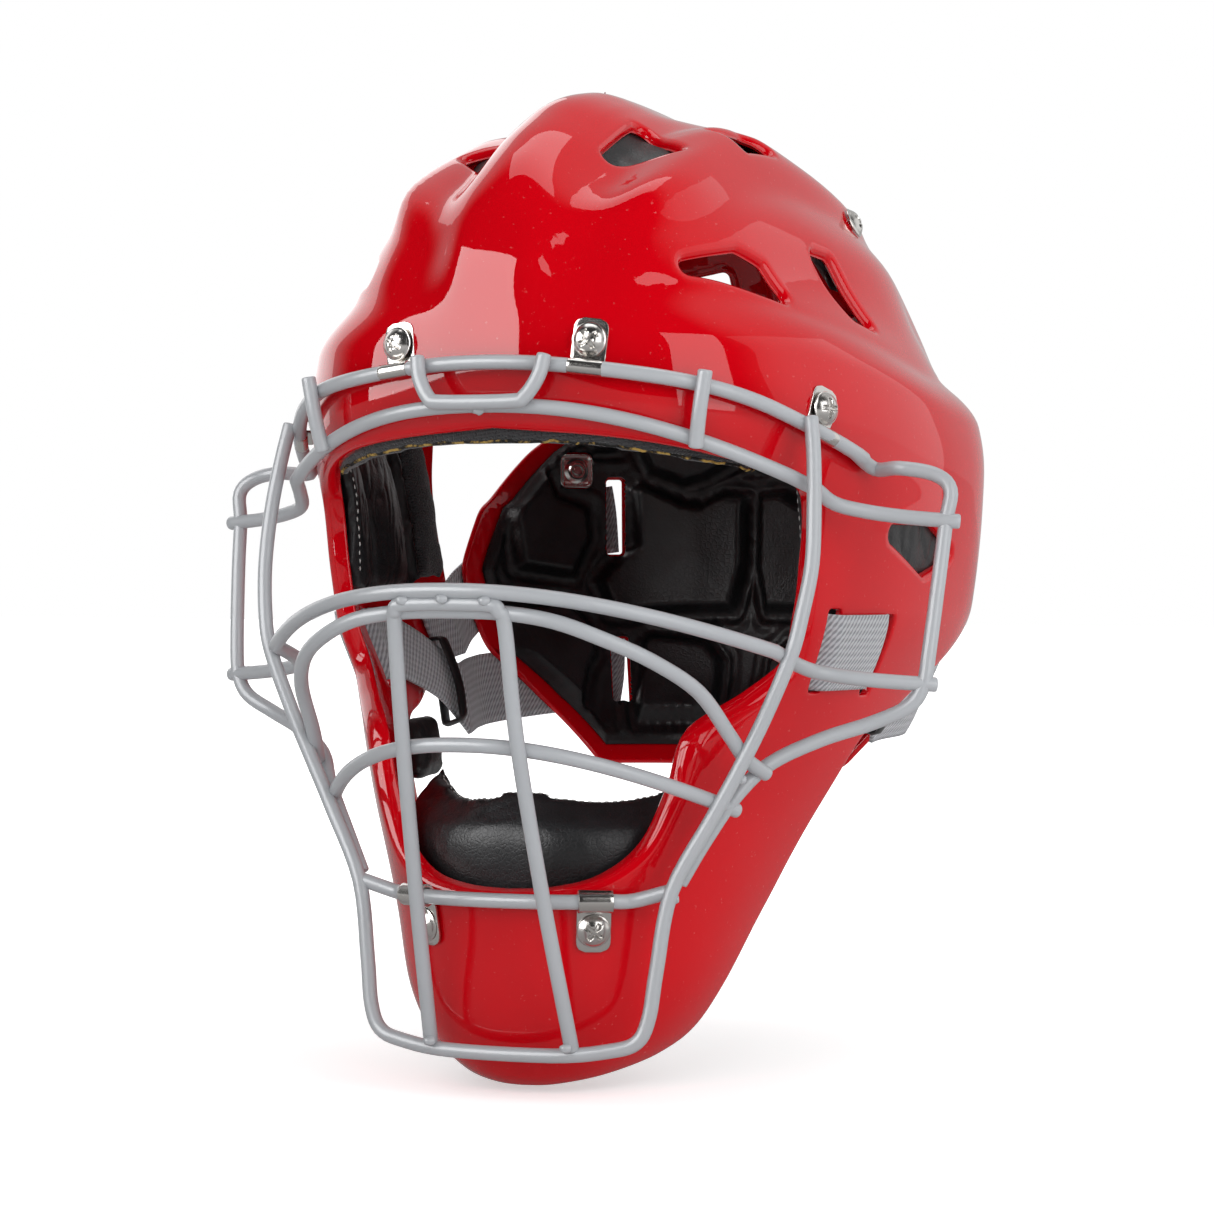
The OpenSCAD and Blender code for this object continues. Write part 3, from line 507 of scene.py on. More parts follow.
def moulding(name, turns, steps, cuts, outer, wall):
    """A moulded sheet along the skin with holes and rims: half of it is cut on the plane of
    turn and step, then mirrored, thickened and laid on the skin."""
    bm = bmesh.new()
    nx, ny = len(turns) - 1, len(steps) - 1
    bmesh.ops.create_grid(bm, x_segments=nx, y_segments=ny, size=1)
    for v in bm.verts:
        v.co = (turns[round((v.co.x + 1) / 2 * nx)], steps[round((v.co.y + 1) / 2 * ny)], 0)
    rim, away = bm.verts.layers.float_vector.new("rim"), bm.verts.layers.float_vector.new("away")
    place = bm.verts.layers.float_vector.new("place")
    for outline, closed, region, fine, shape in cuts:
        if fine:
            p = flat_points(bm.verts)
            solid, line = skin(p[:, 0], p[:, 1]), skin(outline[:, 0], outline[:, 1])
            far = np.full(len(p), 1e9)
            for q in line:
                far = np.minimum(far, np.linalg.norm(solid - q, axis=1))
            near = {v for v, d in zip(bm.verts, far) if d < fine}
            bmesh.ops.subdivide_edges(bm, edges=[e for e in bm.edges if e.verts[0] in near and e.verts[1] in near],
                                      cuts=1, use_grid_fill=True)
        centres = np.array([f.calc_center_median()[:2] for f in bm.faces])
        doomed = [f for f, hit in zip(bm.faces[:], inside(centres, region)) if hit]
        touched = {v for f in doomed for v in f.verts}
        bmesh.ops.delete(bm, geom=doomed, context="FACES")
        touched = [v for v in touched if v.is_valid]
        spikes = [f for f in {f for v in touched for f in v.link_faces}
                  if sum(e.is_boundary and not on_seam(e) for e in f.edges) > 2]
        if spikes:
            touched = set(touched) | {v for f in spikes for v in f.verts}
            bmesh.ops.delete(bm, geom=spikes, context="FACES")
            touched = [v for v in touched if v.is_valid]
        chain, loop = chain_of(touched)
        if loop != closed or len(chain) != len(touched):
            raise RuntimeError(f"{name}: a rim isn't one line: {len(chain)} of {len(touched)}, {loop}")
        follow(chain, closed, outline)
        relax(bm, chain)
        solid = skin(*flat_points(chain).T)
        run = np.roll(solid, -1, 0) - np.roll(solid, 1, 0) if closed else np.gradient(solid, axis=0)
        side = unit(np.cross(run, outward(*flat_points(chain).T)))
        kept = skin(*np.array([np.mean([f.calc_center_median()[:2] for f in v.link_faces], 0) for v in chain]).T)
        side *= np.where(np.sum(side * (solid - kept), 1) < 0, -1, 1)[:, None]
        for k, (v, d) in enumerate(zip(chain, side)):
            if abs(solid[k][0]) < 1e-6:
                d = unit(d * [0, 1, 1])
            v[away] = d
            v[rim] = shape(solid[k]) if callable(shape) else shape
    for v in bm.verts:
        v[place] = (v.co.x, v.co.y, 0)
    p = flat_points(bm.verts)
    for v, q in zip(bm.verts, skin(p[:, 0], p[:, 1])):
        v.co = q
        if abs(v.co.x) < 1e-4:
            v.co.x = 0
    bmesh.ops.mirror(bm, geom=bm.verts[:] + bm.edges[:] + bm.faces[:], matrix=Matrix(), merge_dist=0.001, axis="X")
    for v in bm.verts:
        if v.co.x < -1e-4:
            v[place] = (-abs(v[place][0]), v[place][1], 0)
            v[away] = (-v[away][0], v[away][1], v[away][2])
    bmesh.ops.remove_doubles(bm, verts=bm.verts, dist=0.001)
    out = bmesh.ops.extrude_face_region(bm, geom=bm.faces[:], use_keep_orig=True)["geom"]
    for v in out:
        if isinstance(v, bmesh.types.BMVert):
            v[place] = (v[place][0], v[place][1], 1)
    rims = [e for e in bm.edges if abs(e.verts[0][place][2] - e.verts[1][place][2]) > 0.5]
    bmesh.ops.subdivide_edges(bm, edges=rims, cuts=CUTS)
    at = np.array([v[place] for v in bm.verts])
    base, inner = (skin(at[:, 0], at[:, 1], off) for off in (outer, outer - wall))
    n = outward(at[:, 0], at[:, 1])
    for i, v in enumerate(bm.verts):
        k = round(at[i, 2] * (CUTS + 1))
        if k == 0:
            q = base[i]
        elif k > CUTS:
            q = inner[i]
        else:
            reach, deep = rim_point(k, *v[rim])
            q = base[i] + np.array(v[away]) * reach - n[i] * deep
        v.co = Vector(q) * MM
    bmesh.ops.recalc_face_normals(bm, faces=bm.faces)
    if bm.calc_volume(signed=True) < 0:
        bmesh.ops.reverse_faces(bm, faces=bm.faces)
    return new_object(name, bm)


def build_shell():
    """The moulded shell with its face opening, vents, ear holes and strap slots."""
    lip, cheek_swell = mm.lip, 2.6
    face = face_outline(lip + cheek_swell * bell(np.linspace(0, 1, 160) - 0.62, 0.2))
    trim = trim_outline(EDGE)
    cuts = [
        (face, False, np.vstack([[-9, face[0][1]], face, [-9, face[-1][1]]]), 0,
         lambda p: (lip + cheek_swell * bell(p[2] + 55, 45), 7.0, 1)),
        (trim, False, np.vstack([trim, [-9, CHIN_TIP], [-9, 40], [200, 40], [200, trim[0][1]]]), 0, (EDGE, mm.wall, 0)),
    ]
    for corners, roll, deep in [(v, lip, 3.85) for v in VENTS] + [(EAR_HOLE, 2.4, 4.2)]:
        line = vent_outline(corners, 3 + roll)
        cuts.append((line, True, line, 8, (roll, deep, 1)))
    for at in STRAP_SLOTS:
        line = slot_outline(at, EDGE)
        cuts.append((line, True, line, 7, (EDGE, mm.wall, 0)))
    return moulding("mask_shell", np.linspace(0, 180, 133), np.linspace(0, LAST, 155), cuts, 0, mm.wall)


# ---------------------------------------------------------------- finishes

class Value:
    """A shader socket that takes part in plain Python sums."""

    def __init__(self, finish, socket):
        self.finish, self.socket = finish, socket

    def sum(self, what, other, swap=False):
        pair = (other, self) if swap else (self, other)
        return self.finish.node("ShaderNodeMath", {"operation": what}, {0: pair[0], 1: pair[1]})

    def __add__(self, other): return self.sum("ADD", other)
    def __radd__(self, other): return self.sum("ADD", other, True)
    def __sub__(self, other): return self.sum("SUBTRACT", other)
    def __rsub__(self, other): return self.sum("SUBTRACT", other, True)
    def __mul__(self, other): return self.sum("MULTIPLY", other)
    def __rmul__(self, other): return self.sum("MULTIPLY", other, True)
    def high(self, other): return self.sum("MAXIMUM", other)

    def between(self, a, b, to_a=0.0, to_b=1.0):
        """The value mapped smoothly from the range a..b."""
        return self.finish.node("ShaderNodeMapRange", {"interpolation_type": "SMOOTHSTEP"},
                                {0: self, 1: a, 2: b, 3: to_a, 4: to_b})


class Finish:
    """A material under construction."""

    def __init__(self, name):
        self.material = bpy.data.materials.new(name)
        self.material.use_nodes = True
        self.nodes, self.links = self.material.node_tree.nodes, self.material.node_tree.links
        self.shader, self.output = self.nodes["Principled BSDF"], self.nodes["Material Output"]

    def node(self, kind, settings=None, values=None, out=0):
        """A node of that kind, its settings made first, then its sockets set or linked. Returns one output."""
        n = self.nodes.new(kind)
        for key, value in (settings or {}).items():
            setattr(n, key, value)
        for key, value in (values or {}).items():
            if isinstance(value, Value):
                self.links.new(value.socket, n.inputs[key])
            elif hasattr(value, "__len__") and len(value) == 3 and n.inputs[key].type == "RGBA":
                n.inputs[key].default_value = (*value, 1)
            else:
                n.inputs[key].default_value = value
        return Value(self, n.outputs[out])

    def place(self, scale=(1, 1, 1), turn=(0, 0, 0)):
        """Object coordinates, stretched and turned."""
        here = self.node("ShaderNodeTexCoord", out="Object")
        return self.node("ShaderNodeMapping", {}, {"Vector": here, "Scale": scale, "Rotation": turn})

    def noise(self, at, scale, detail=2.0, rough=0.5):
        return self.node("ShaderNodeTexNoise", {},
                         {"Vector": at, "Scale": scale, "Detail": detail, "Roughness": rough}, "Fac")

    def cells(self, at, scale, feature):
        return self.node("ShaderNodeTexVoronoi", {"feature": feature}, {"Vector": at, "Scale": scale}, "Distance")

    def waves(self, at, scale, direction):
        return self.node("ShaderNodeTexWave", {"bands_direction": direction}, {"Vector": at, "Scale": scale})

    def mix(self, factor, a, b):
        """A colour between the colours a and b."""
        return self.node("ShaderNodeMix", {"data_type": "RGBA"}, {0: factor, 6: a, 7: b}, 2)

    def bump(self, height, distance, strength=1.0, under=None):
        """Normals raised by a height, over the normals under them."""
        values = {"Height": height, "Distance": distance, "Strength": strength}
        if under:
            values["Normal"] = under
        return self.node("ShaderNodeBump", {}, values)

    def set(self, **sockets):
        """Sets the shader's sockets; a Value is linked, a number or colour is set on the socket itself."""
        for key, value in sockets.items():
            socket = self.shader.inputs[key.replace("_", " ").title().replace("Ior", "IOR")]
            if isinstance(value, Value):
                self.links.new(value.socket, socket)
            else:
                socket.default_value = (*value, 1) if hasattr(value, "__len__") and len(value) == 3 else value
        return self.material


def red_plastic():
    """Gloss plastic with a clear top coat, dust and hairline scratches."""
    f, colour = Finish("red_plastic"), chosen("shell")
    at = f.place()
    cloudy = f.noise(at, 9, 3)
    peel = f.noise(at, 260, 2)
    dust = f.noise(at, 620, 3, 0.6).between(0.66, 0.74)
    hairline = f.noise(f.place((60, 9, 900), (0.4, 0.3, 0.2)), 3, 2).between(0.70, 0.76)
    base = f.mix(cloudy.between(0.3, 0.7, 0.0, 0.35), colour, tuple(c * 0.82 for c in colour))
    base = f.mix(dust * 0.10, base, linear(225, 190, 185))
    return f.set(base_color=base, roughness=0.30 + 0.10 * cloudy + 0.16 * hairline, specular_ior_level=0.0,
                 coat_weight=1.0, coat_roughness=0.03, coat_ior=1.5,
                 normal=f.bump(peel, 0.00006, 0.5))


def powder_coat(colour):
    """Fine-grained coat on the cage, rubbed in places."""
    f = Finish("grey_powder_coat")
    at = f.place()
    grain = f.noise(at, 1500, 2)
    lumps = f.noise(at, 320, 2)
    shade = f.noise(at, 24, 3).between(0.3, 0.7)
    rub = f.noise(at, 90, 4, 0.7).between(0.70, 0.78)
    base = f.mix(shade * 0.5, colour, tuple(c * 0.88 for c in colour))
    base = f.mix(rub * 0.35, base, linear(120, 122, 126))
    return f.set(base_color=base, roughness=0.34 + 0.10 * shade, specular_ior_level=0.5,
                 coat_weight=0.5, coat_roughness=0.16,
                 normal=f.bump(grain * 0.5 + lumps, 0.00010, 0.6))


def black_leather():
    """Pebbled leather, worn lighter in patches."""
    f = Finish("black_leather")
    at = f.place()
    pebbles = f.cells(at, 620, "DISTANCE_TO_EDGE").between(0.0, 0.22)
    creases = f.cells(at, 95, "DISTANCE_TO_EDGE").between(0.0, 0.05)
    worn = f.noise(at, 38, 4, 0.6)
    high = chosen("leather")
    base = f.mix(worn.between(0.35, 0.75), tuple(0.85 * c for c in high), tuple(1.9 * c for c in high))
    return f.set(base_color=base, roughness=0.34 + 0.18 * worn - 0.06 * pebbles, specular_ior_level=0.5,
                 normal=f.bump(pebbles, 0.00008, 0.45, f.bump(creases, 0.00006, 0.25)))


def charcoal_knit():
    """Knitted loops in rows, with painted shade in the hollows between the loops and a yarn tone that varies at random.
    """
    f = Finish("charcoal_knit")
    at = f.place()
    loops = f.cells(at, 1150, "F1").between(0.1, 0.6)
    rows = f.waves(f.place((1, 1, 1), (0.2, 0.1, 0.4)), 330, "Z")
    worn = f.noise(at, 30, 3)
    # Painted shade: the knit's low parts, taken from the same loops and rows as its bump, are darkened towards a
    # quarter of the yarn colour; worn only adds random tone.
    shade = (loops * 0.7 + rows * 0.3) * (0.6 + 0.6 * worn)
    yarn = chosen("knit")
    base = f.mix(shade, tuple(0.25 * c for c in yarn), yarn)
    return f.set(base_color=base, roughness=0.9, specular_ior_level=0.25, sheen_weight=0.25,
                 normal=f.bump(loops + rows * 0.5, 0.0003, 0.8))


def chrome_metal(name="bright_plating", rough=0.17):
    """Brushed plating with small pits."""
    f = Finish(name)
    at = f.place()
    brushed = f.noise(f.place((900, 900, 120)), 1, 3)
    pits = f.noise(at, 700, 3, 0.7).between(0.68, 0.76)
    cloud = f.noise(at, 60, 3)
    metal = chosen("plating")
    base = f.mix(pits * 0.5, metal, tuple(0.54 * c for c in metal))
    return f.set(base_color=base, metallic=1.0, roughness=rough + 0.10 * cloud + 0.2 * pits,
                 normal=f.bump(brushed, 0.00003, 0.4))


def finish_of(maker):
    """The finish that the maker gives, made once."""
    return bpy.data.materials.get(maker.__name__) or maker()


def paint(piece, material):
    piece.data.materials.clear()
    piece.data.materials.append(material)
    return piece


# ---------------------------------------------------------------- drawn pieces

def extend(bm, edges, key, place):
    """Extrudes a run of edges and returns the new run. place(old vertex) says where its copy goes, and
    the copy takes over what key holds for the old vertex."""
    old = {v for e in edges for v in e.verts}
    out = bmesh.ops.extrude_edge_only(bm, edges=edges)["geom"]
    new = {g for g in out if isinstance(g, bmesh.types.BMVert)}
    pairs = {}
    for v in new:
        for e in v.link_edges:
            if e.other_vert(v) in old:
                pairs[v] = e.other_vert(v)
    spots = {v: place(o) for v, o in pairs.items()}
    for v, spot in spots.items():
        v.co = spot
        key[v] = key[pairs[v]]
    return [e for v in new for e in v.link_edges if e.other_vert(v) in new and e.verts[0] is v]


def carried_frames(path, lean):
    """Two directions across a path at each point, carried along it without twist."""
    run = unit(np.gradient(path, axis=0))
    u = unit(np.cross(run[0], lean))
    out = []
    for r in run:
        u = unit(u - r * np.dot(u, r))
        out.append((u, np.cross(r, u)))
    return out


def rod(bm, path, radius, lean):
    """A round rod along the path, in mm, with its end edges broken."""
    path = np.asarray(path, float)
    frames = carried_frames(path, lean)
    ring = bmesh.ops.create_circle(bm, segments=20, radius=1)["verts"]
    at = {v: (v.co.x * radius, v.co.y * radius) for v in ring}
    for v in ring:
        v.co = path[0] + frames[0][0] * at[v][0] + frames[0][1] * at[v][1]
    first = edges = [e for e in bm.edges if e.verts[0] in at and e.verts[1] in at]
    for p, (u, w) in zip(path[1:], frames[1:]):
        edges = extend(bm, edges, at, lambda v: p + u * at[v][0] + w * at[v][1])
    for loop in (first, edges):
        bmesh.ops.contextual_create(bm, geom=loop)
    bmesh.ops.bevel(bm, geom=first + edges, offset=0.7, affect="EDGES", segments=3, profile=0.5, material=-1)


def weld_beads(bm, spots):
    """Small flattened blobs over the crossings, in mm."""
    rng, size = random.Random(5), 1.9
    for at in spots:
        ball = bmesh.ops.create_icosphere(bm, subdivisions=2, radius=1)["verts"]
        for v in ball:
            swell = 1 + 0.16 * math.sin(3 * v.co.x + 5 * v.co.y + rng.random() * 0.3)
            v.co = Vector(at) + Vector((v.co.x * size, v.co.y * size, v.co.z * size * 0.9)) * swell


def finish_mm(name, bm, angle=None):
    """Closes a piece drawn in mm: normals outward, metres, smooth."""
    bmesh.ops.remove_doubles(bm, verts=bm.verts, dist=0.0005)
    bmesh.ops.recalc_face_normals(bm, faces=bm.faces)
    bmesh.ops.scale(bm, vec=(MM, MM, MM), verts=bm.verts)
    return new_object(name, bm, angle)


def stand_for(piece, material, body, slot, *nodes):
    """Paints a piece, lets it ride on its body and hides the CAD nodes it stands for."""
    paint(piece, material)
    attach(piece, body)
    if nodes:
        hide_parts(*nodes)
    return piece


# ---------------------------------------------------------------- cage

CHIN_BAR_STEP = 17.62


def top_bar_step(a):
    return 8 + 2.05 * (a / 48) ** 2


def top_bar_at(a):
    return skin(a, top_bar_step(a), mm.wire_lie)


def placed(points):
    """Points drawn for the drawn size, moved to the shell's own size."""
    return np.array(points, float) * FORM


def flipped(points):
    """The line's mirror image, run the other way."""
    return np.array(points)[::-1] * [-1, 1, 1]


def bow(reach, middle, ends, power, xs):
    """A wire bowed round the face: y and z go from the middle's to the ends' by a power of x."""
    k = np.abs(np.asarray(xs, float) / reach) ** power
    return np.stack([xs, middle[0] + (ends[0] - middle[0]) * k, middle[1] + (ends[1] - middle[1]) * k], 1) * FORM


def whole(half, middle=None):
    """A symmetric wire from its left half, which starts at the side."""
    parts = [half] + ([middle] if middle is not None else []) + [flipped(half)]
    return smooth_line(np.vstack(parts), 5)


def wire_paths():
    """The middle line of each wire in mm, and the direction that its section is turned by."""
    brow_core = lambda xs: bow(91, (-136, 44.2), (-88, 20), 2.3, xs)
    brow_side = smooth_line(placed([[92.5, -80, 18], [96, -72, 13.5], [104, -66, 11], [117, -60, 9],
                                    [133, -54, 7.6]]), 5)
    stub = placed([[22, -137, 60], [20.5, -138.5, 53], [16.5, -140.2, 46.6], [12, -140.6, 45.2]])
    post_front = mm.wire - 0.2
    post_top = top_bar_at(24.5) + np.array([0.72, -0.62, 0.3]) * post_front
    post_low = brow_core([64.2])[0] + np.array([0.3, -0.66, -0.2]) * post_front
    post_run = unit(post_top - post_low) * mm.wire / 2
    frame_half = placed([[93, -86.3, 41], [95, -89.5, 28], [96.5, -93.5, 12], [97, -97, -6], [95, -101, -22],
                         [92, -103, -35], [83.5, -104.2, -55], [75, -105.5, -72], [67, -107.5, -87],
                         [55, -111.5, -110], [50.8, -114, -135], [48.8, -115.5, -150], [45, -116.5, -158],
                         [36, -118.5, -161], [18, -121, -163]])
    loop = placed([[113, -56, 25], [124, -53.5, 23], [129.5, -53.5, 18], [128.5, -55, 8], [127.5, -58.5, -8],
                   [125.5, -63.5, -34], [124, -65, -45], [119.5, -66.5, -52], [108, -70, -57.5], [94, -78, -62.5],
                   [80, -88, -70], [72, -98.5, -80], [63, -104, -95], [56, -107, -108]])
    eye_side = smooth_line(placed([[88.5, -97, -36], [89.5, -88, -38.5], [94, -80, -41], [108, -73, -43.3],
                                   [128, -63, -45]]), 5)
    eye_core = bow(88, (-165, -14), (-107, -33.5), 2.2, np.linspace(-88, 88, 41))
    cheek = placed([[80, -91, -73.5], [76, -100.5, -68], [73.5, -109, -60], [69.3, -125, -46], [60, -141, -36],
                    [48, -152, -29], [34, -158, -23.5], [18, -160, -21]])
    nose = placed([[24.7, -121, -161], [22, -138, -112], [19.6, -153.3, -61], [18.8, -160.5, -26],
                   [17.6, -162.8, -20.5], [13.5, -163.6, -18.3]])
    chin = placed([[54.5, -110.5, -110]])
    chin_core = skin(np.arange(-24, 25, 4), CHIN_BAR_STEP, mm.wire_lie)
    ears = smooth_line(np.vstack([top_bar_at(np.array([46, 50])), loop]), 5)
    return {
        "top_bar": (top_bar_at(np.linspace(-48, 48, 73)), (0, 1, 0)),
        "brow_bar": (np.vstack([flipped(brow_side), brow_core(np.linspace(-88, 88, 45)), brow_side]), (0.2, 0.3, 1)),
        "brow_stub": (whole(stub), (0, 1, 0)),
        "brow_posts": (smooth_line([post_top + 1.2 * post_run, (post_top + post_low) / 2 + [0, -0.7, 0],
                                    post_low - 0.8 * post_run], 8), (0, 1, 0)),
        "face_frame": (whole(frame_half), (0, 1, 0)),
        "ear_loop_left": (ears, (0.3, 1, 0.15)),
        "ear_loop_right": (flipped(ears), (-0.3, 1, 0.15)),
        "eye_bar": (np.vstack([flipped(eye_side), eye_core, eye_side]), (0.1, 0.2, 1)),
        "cheek_arc": (whole(cheek, placed([[0, -160.5, -20.5]])), (0, 1, 0)),
        "lower_arc": (bow(72, (-152, -62.5), (-96.5, -85), 2.2, np.linspace(-72, 72, 61)), (0, 0.3, 1)),
        "nose_guard": (whole(nose), (0, 1, 0)),
        "chin_bar": (smooth_line(np.vstack([chin * [-1, 1, 1], chin_core, chin]), 5), (0, 0.3, 1)),
    }


def build_cage():
    """Each wire with the weld beads that lie on it."""
    coat = powder_coat(chosen("cage"))
    paths = wire_paths()
    beads = {
        "brow_bar": [[0, -138.4, 42.6]], "eye_bar": [[0, -166.2, -16.6], [14, -165.4, -17.2], [-14, -165.4, -17.2]],
        "nose_guard": [[19.9, -152.6, -64.8], [-19.9, -152.6, -64.8], [23.8, -124, -160], [-23.8, -124, -160]],
        "face_frame": [[75.5, -103.4, -74.4], [-75.5, -103.4, -74.4], [91.5, -101, -37], [-91.5, -101, -37],
                       [55, -109.6, -112.6], [-55, -109.6, -112.6]],
    }
    for name, (path, lean) in paths.items():
        bm = bmesh.new()
        rod(bm, path, mm.wire / 2, lean)
        if name == "brow_posts":
            rod(bm, np.array(path) * [-1, 1, 1], mm.wire / 2, lean)
        weld_beads(bm, [np.array(b) * FORM for b in beads.get(name, [])])
        stand_for(finish_mm("wire_" + name, bm, 50), coat, "helmet", "cage", name)


# ---------------------------------------------------------------- clips, screws and nuts

# Turn and step
CROWN_SCREW = (122, 4.9)
PLATE_SCREW = (138.5, 10.1)


def clip_spots():
    """Turn and step of the brow, temple and chin clips' screws."""
    clear = (mm.wire + mm.head) / 2 + 1
    return {"brow_clips": (13, top_bar_step(13) - clear / 15.5),
            "temple_clips": (43, top_bar_step(43) - clear / 14),
            "chin_clips": (20, CHIN_BAR_STEP + clear / 21)}


def chin_bar_at(a):
    return skin(a, CHIN_BAR_STEP, mm.wire_lie)


def on_place(verts, frame_axes, lean=0.0):
    """Moves points from a flat place to the skin."""
    o, axes = frame_axes
    c, s = math.cos(lean), math.sin(lean)
    for v in verts:
        x, y, z = v.co
        v.co = o + axes.T @ np.array([c * x - s * y, s * x + c * y, z])


def both_sides(bm):
    """Adds the mirror image across the middle of the mask."""
    bmesh.ops.mirror(bm, geom=bm.verts[:] + bm.edges[:] + bm.faces[:], matrix=Matrix(), merge_dist=0, axis="X")


def clip_piece(bm, at, centre):
    """A strip of sheet metal: an oval tab under the screw, a neck and a curl round the wire."""
    o, axes = skin_frame(*at)
    c = axes @ (centre(at[0]) - o)
    ahead = axes @ (centre(at[0] + 1) - o) - c
    lean = math.atan2(ahead[1], ahead[0])
    y = c[1] * math.cos(lean) - c[0] * math.sin(lean)
    s = math.copysign(1, y)
    half = mm.clip / 2
    up, curl, tip = SEAT + half, mm.wire / 2 + 0.15 + half, mm.head / 2 + 1.6
    line = [(-s * f * tip, up) for f in np.linspace(1, 0, 9)]
    line += [(f * (y - s * 5.2), up) for f in (0.35, 0.7, 1.0)]
    start = math.radians(-62)
    on_tab = len(line)
    line += [(y - s * curl * math.cos(t), c[2] + curl * math.sin(t))
             for t in np.linspace(start, start + math.radians(318), 34)]
    line = np.array(line)
    across = sideways(line)
    wide, tab_half, tab_round = [], 5.6, 3.4
    for k, py in enumerate(line[:, 0]):
        from_tip = min(abs(py + s * tip), tab_round) if k < on_tab else tab_round
        wide.append(tab_half * (0.45 + 0.55 * math.sqrt(1 - ((tab_round - from_tip) / tab_round) ** 2)))
    xs = np.linspace(-1, 1, 9)
    outside = line + across * half
    first = [bm.verts.new((x * wide[0], *outside[0])) for x in xs]
    edges = [bm.edges.new(p) for p in zip(first, first[1:])]
    share = dict(zip(first, xs))
    for k in range(1, len(line)):
        edges = extend(bm, edges, share, lambda v: (share[v] * wide[k], *outside[k]))
    faces = list({f for v in share for f in v.link_faces})
    bmesh.ops.recalc_face_normals(bm, faces=faces)
    out = bmesh.ops.solidify(bm, geom=faces, thickness=mm.clip * 0.98)["geom"]
    verts = set(share) | {g for g in out if isinstance(g, bmesh.types.BMVert)}
    rims = [e for e in bm.edges if e.verts[0] in verts and e.verts[1] in verts and len(e.link_faces) == 2
            and e.calc_face_angle(0) > 1.0]
    bmesh.ops.bevel(bm, geom=rims, offset=0.22, affect="EDGES", segments=2, profile=0.5, material=-1)
    on_place(bm.verts, (o, axes), lean)


def screw_piece(bm, frame_axes, under, reach, turn):
    """A domed head with a cross recess turned by that angle, and its shank."""
    dome = (mm.head_rise ** 2 + mm.head ** 2 / 4) / (2 * mm.head_rise)
    r = mm.head / 2
    line = [(0.0, mm.head_rise)]
    for f in np.linspace(0.06, 0.93, 12):
        x = f * r
        line.append((x, mm.head_rise - dome + math.sqrt(dome ** 2 - x ** 2)))
    line += [(r - 0.1, 0.45), (r, 0.25), (r - 0.12, 0.04), (r - 0.5, 0.0), (2.02, 0.0), (2.0, -0.3),
             (2.0, -reach - under), (1.5, -reach - under - 0.4), (0.0, -reach - under - 0.4)]
    verts = [bm.verts.new((x, 0, z + under)) for x, z in line]
    edges = [bm.edges.new(p) for p in zip(verts, verts[1:])]
    bmesh.ops.spin(bm, geom=verts + edges, cent=(0, 0, 0), axis=(0, 0, 1), angle=2 * math.pi, steps=96,
                   use_merge=True, use_duplicate=False)
    bmesh.ops.remove_doubles(bm, verts=bm.verts, dist=0.0005)
    for v in bm.verts:
        x, y, z = v.co
        if z > under + 0.6:
            c, s = math.cos(turn), math.sin(turn)
            px, py = c * x + s * y, -s * x + c * y
            arm = max(bell(px, 0.95) * ramp(3.3, 2.6, abs(py)), bell(py, 0.95) * ramp(3.3, 2.6, abs(px)))
            bowl = bell(math.hypot(px, py), 2.0)
            v.co.z -= 1.5 * float(max(min(arm * 1.7, 1.0), bowl)) * 0.85
    on_place(bm.verts, frame_axes)


def nut_piece(bm, frame_axes, under):
    """A square T-nut plate with rounded corners, a pressed rim and a short barrel."""
    top = -under - mm.nut_sag
    verts = bmesh.ops.create_cube(bm, size=1)["verts"]
    for v in verts:
        v.co = (v.co.x * mm.nut, v.co.y * mm.nut, top - mm.nut_thick / 2 + v.co.z * mm.nut_thick)
    posts = [e for e in bm.edges if abs(e.verts[0].co.z - e.verts[1].co.z) > 0.5 * mm.nut_thick]
    bmesh.ops.bevel(bm, geom=posts, offset=2.6, affect="EDGES", segments=6, profile=0.5, material=-1)
    low = min(bm.faces, key=lambda f: f.calc_center_median().z)
    for thick, depth in ((0.7, 0.0), (0.5, -0.25), (1.3, 0.0)):
        bmesh.ops.inset_region(bm, faces=[low], thickness=thick, depth=depth, use_even_offset=True)
    rims = [e for e in bm.edges if len(e.link_faces) == 2 and e.calc_face_angle(0) > 1.2]
    bmesh.ops.bevel(bm, geom=rims, offset=0.25, affect="EDGES", segments=2, profile=0.5, material=-1)
    line = [(2.05, 0.9), (2.05, 2.6), (2.3, 2.95), (3.0, 2.95), (3.45, 2.5), (3.55, 1.4), (4.3, 1.22), (4.9, 0.9)]
    verts = [bm.verts.new((x, 0, top - z)) for x, z in line]
    edges = [bm.edges.new(p) for p in zip(verts, verts[1:])]
    bmesh.ops.spin(bm, geom=verts + edges + [bm.edges.new((verts[-1], verts[0]))], cent=(0, 0, 0), axis=(0, 0, 1),
                   angle=2 * math.pi, steps=40, use_merge=True, use_duplicate=False)
    on_place(bm.verts, frame_axes)


def gather(name, makers):
    """One piece from several makers, each drawn apart, with their mirror images."""
    whole_bm = bmesh.new()
    for make in makers:
        part = bmesh.new()
        make(part)
        bmesh.ops.recalc_face_normals(part, faces=part.faces)
        both_sides(part)
        held = bpy.data.meshes.new("part")
        part.to_mesh(held)
        part.free()
        whole_bm.from_mesh(held)
        bpy.data.meshes.remove(held)
    return finish_mm(name, whole_bm, 38)


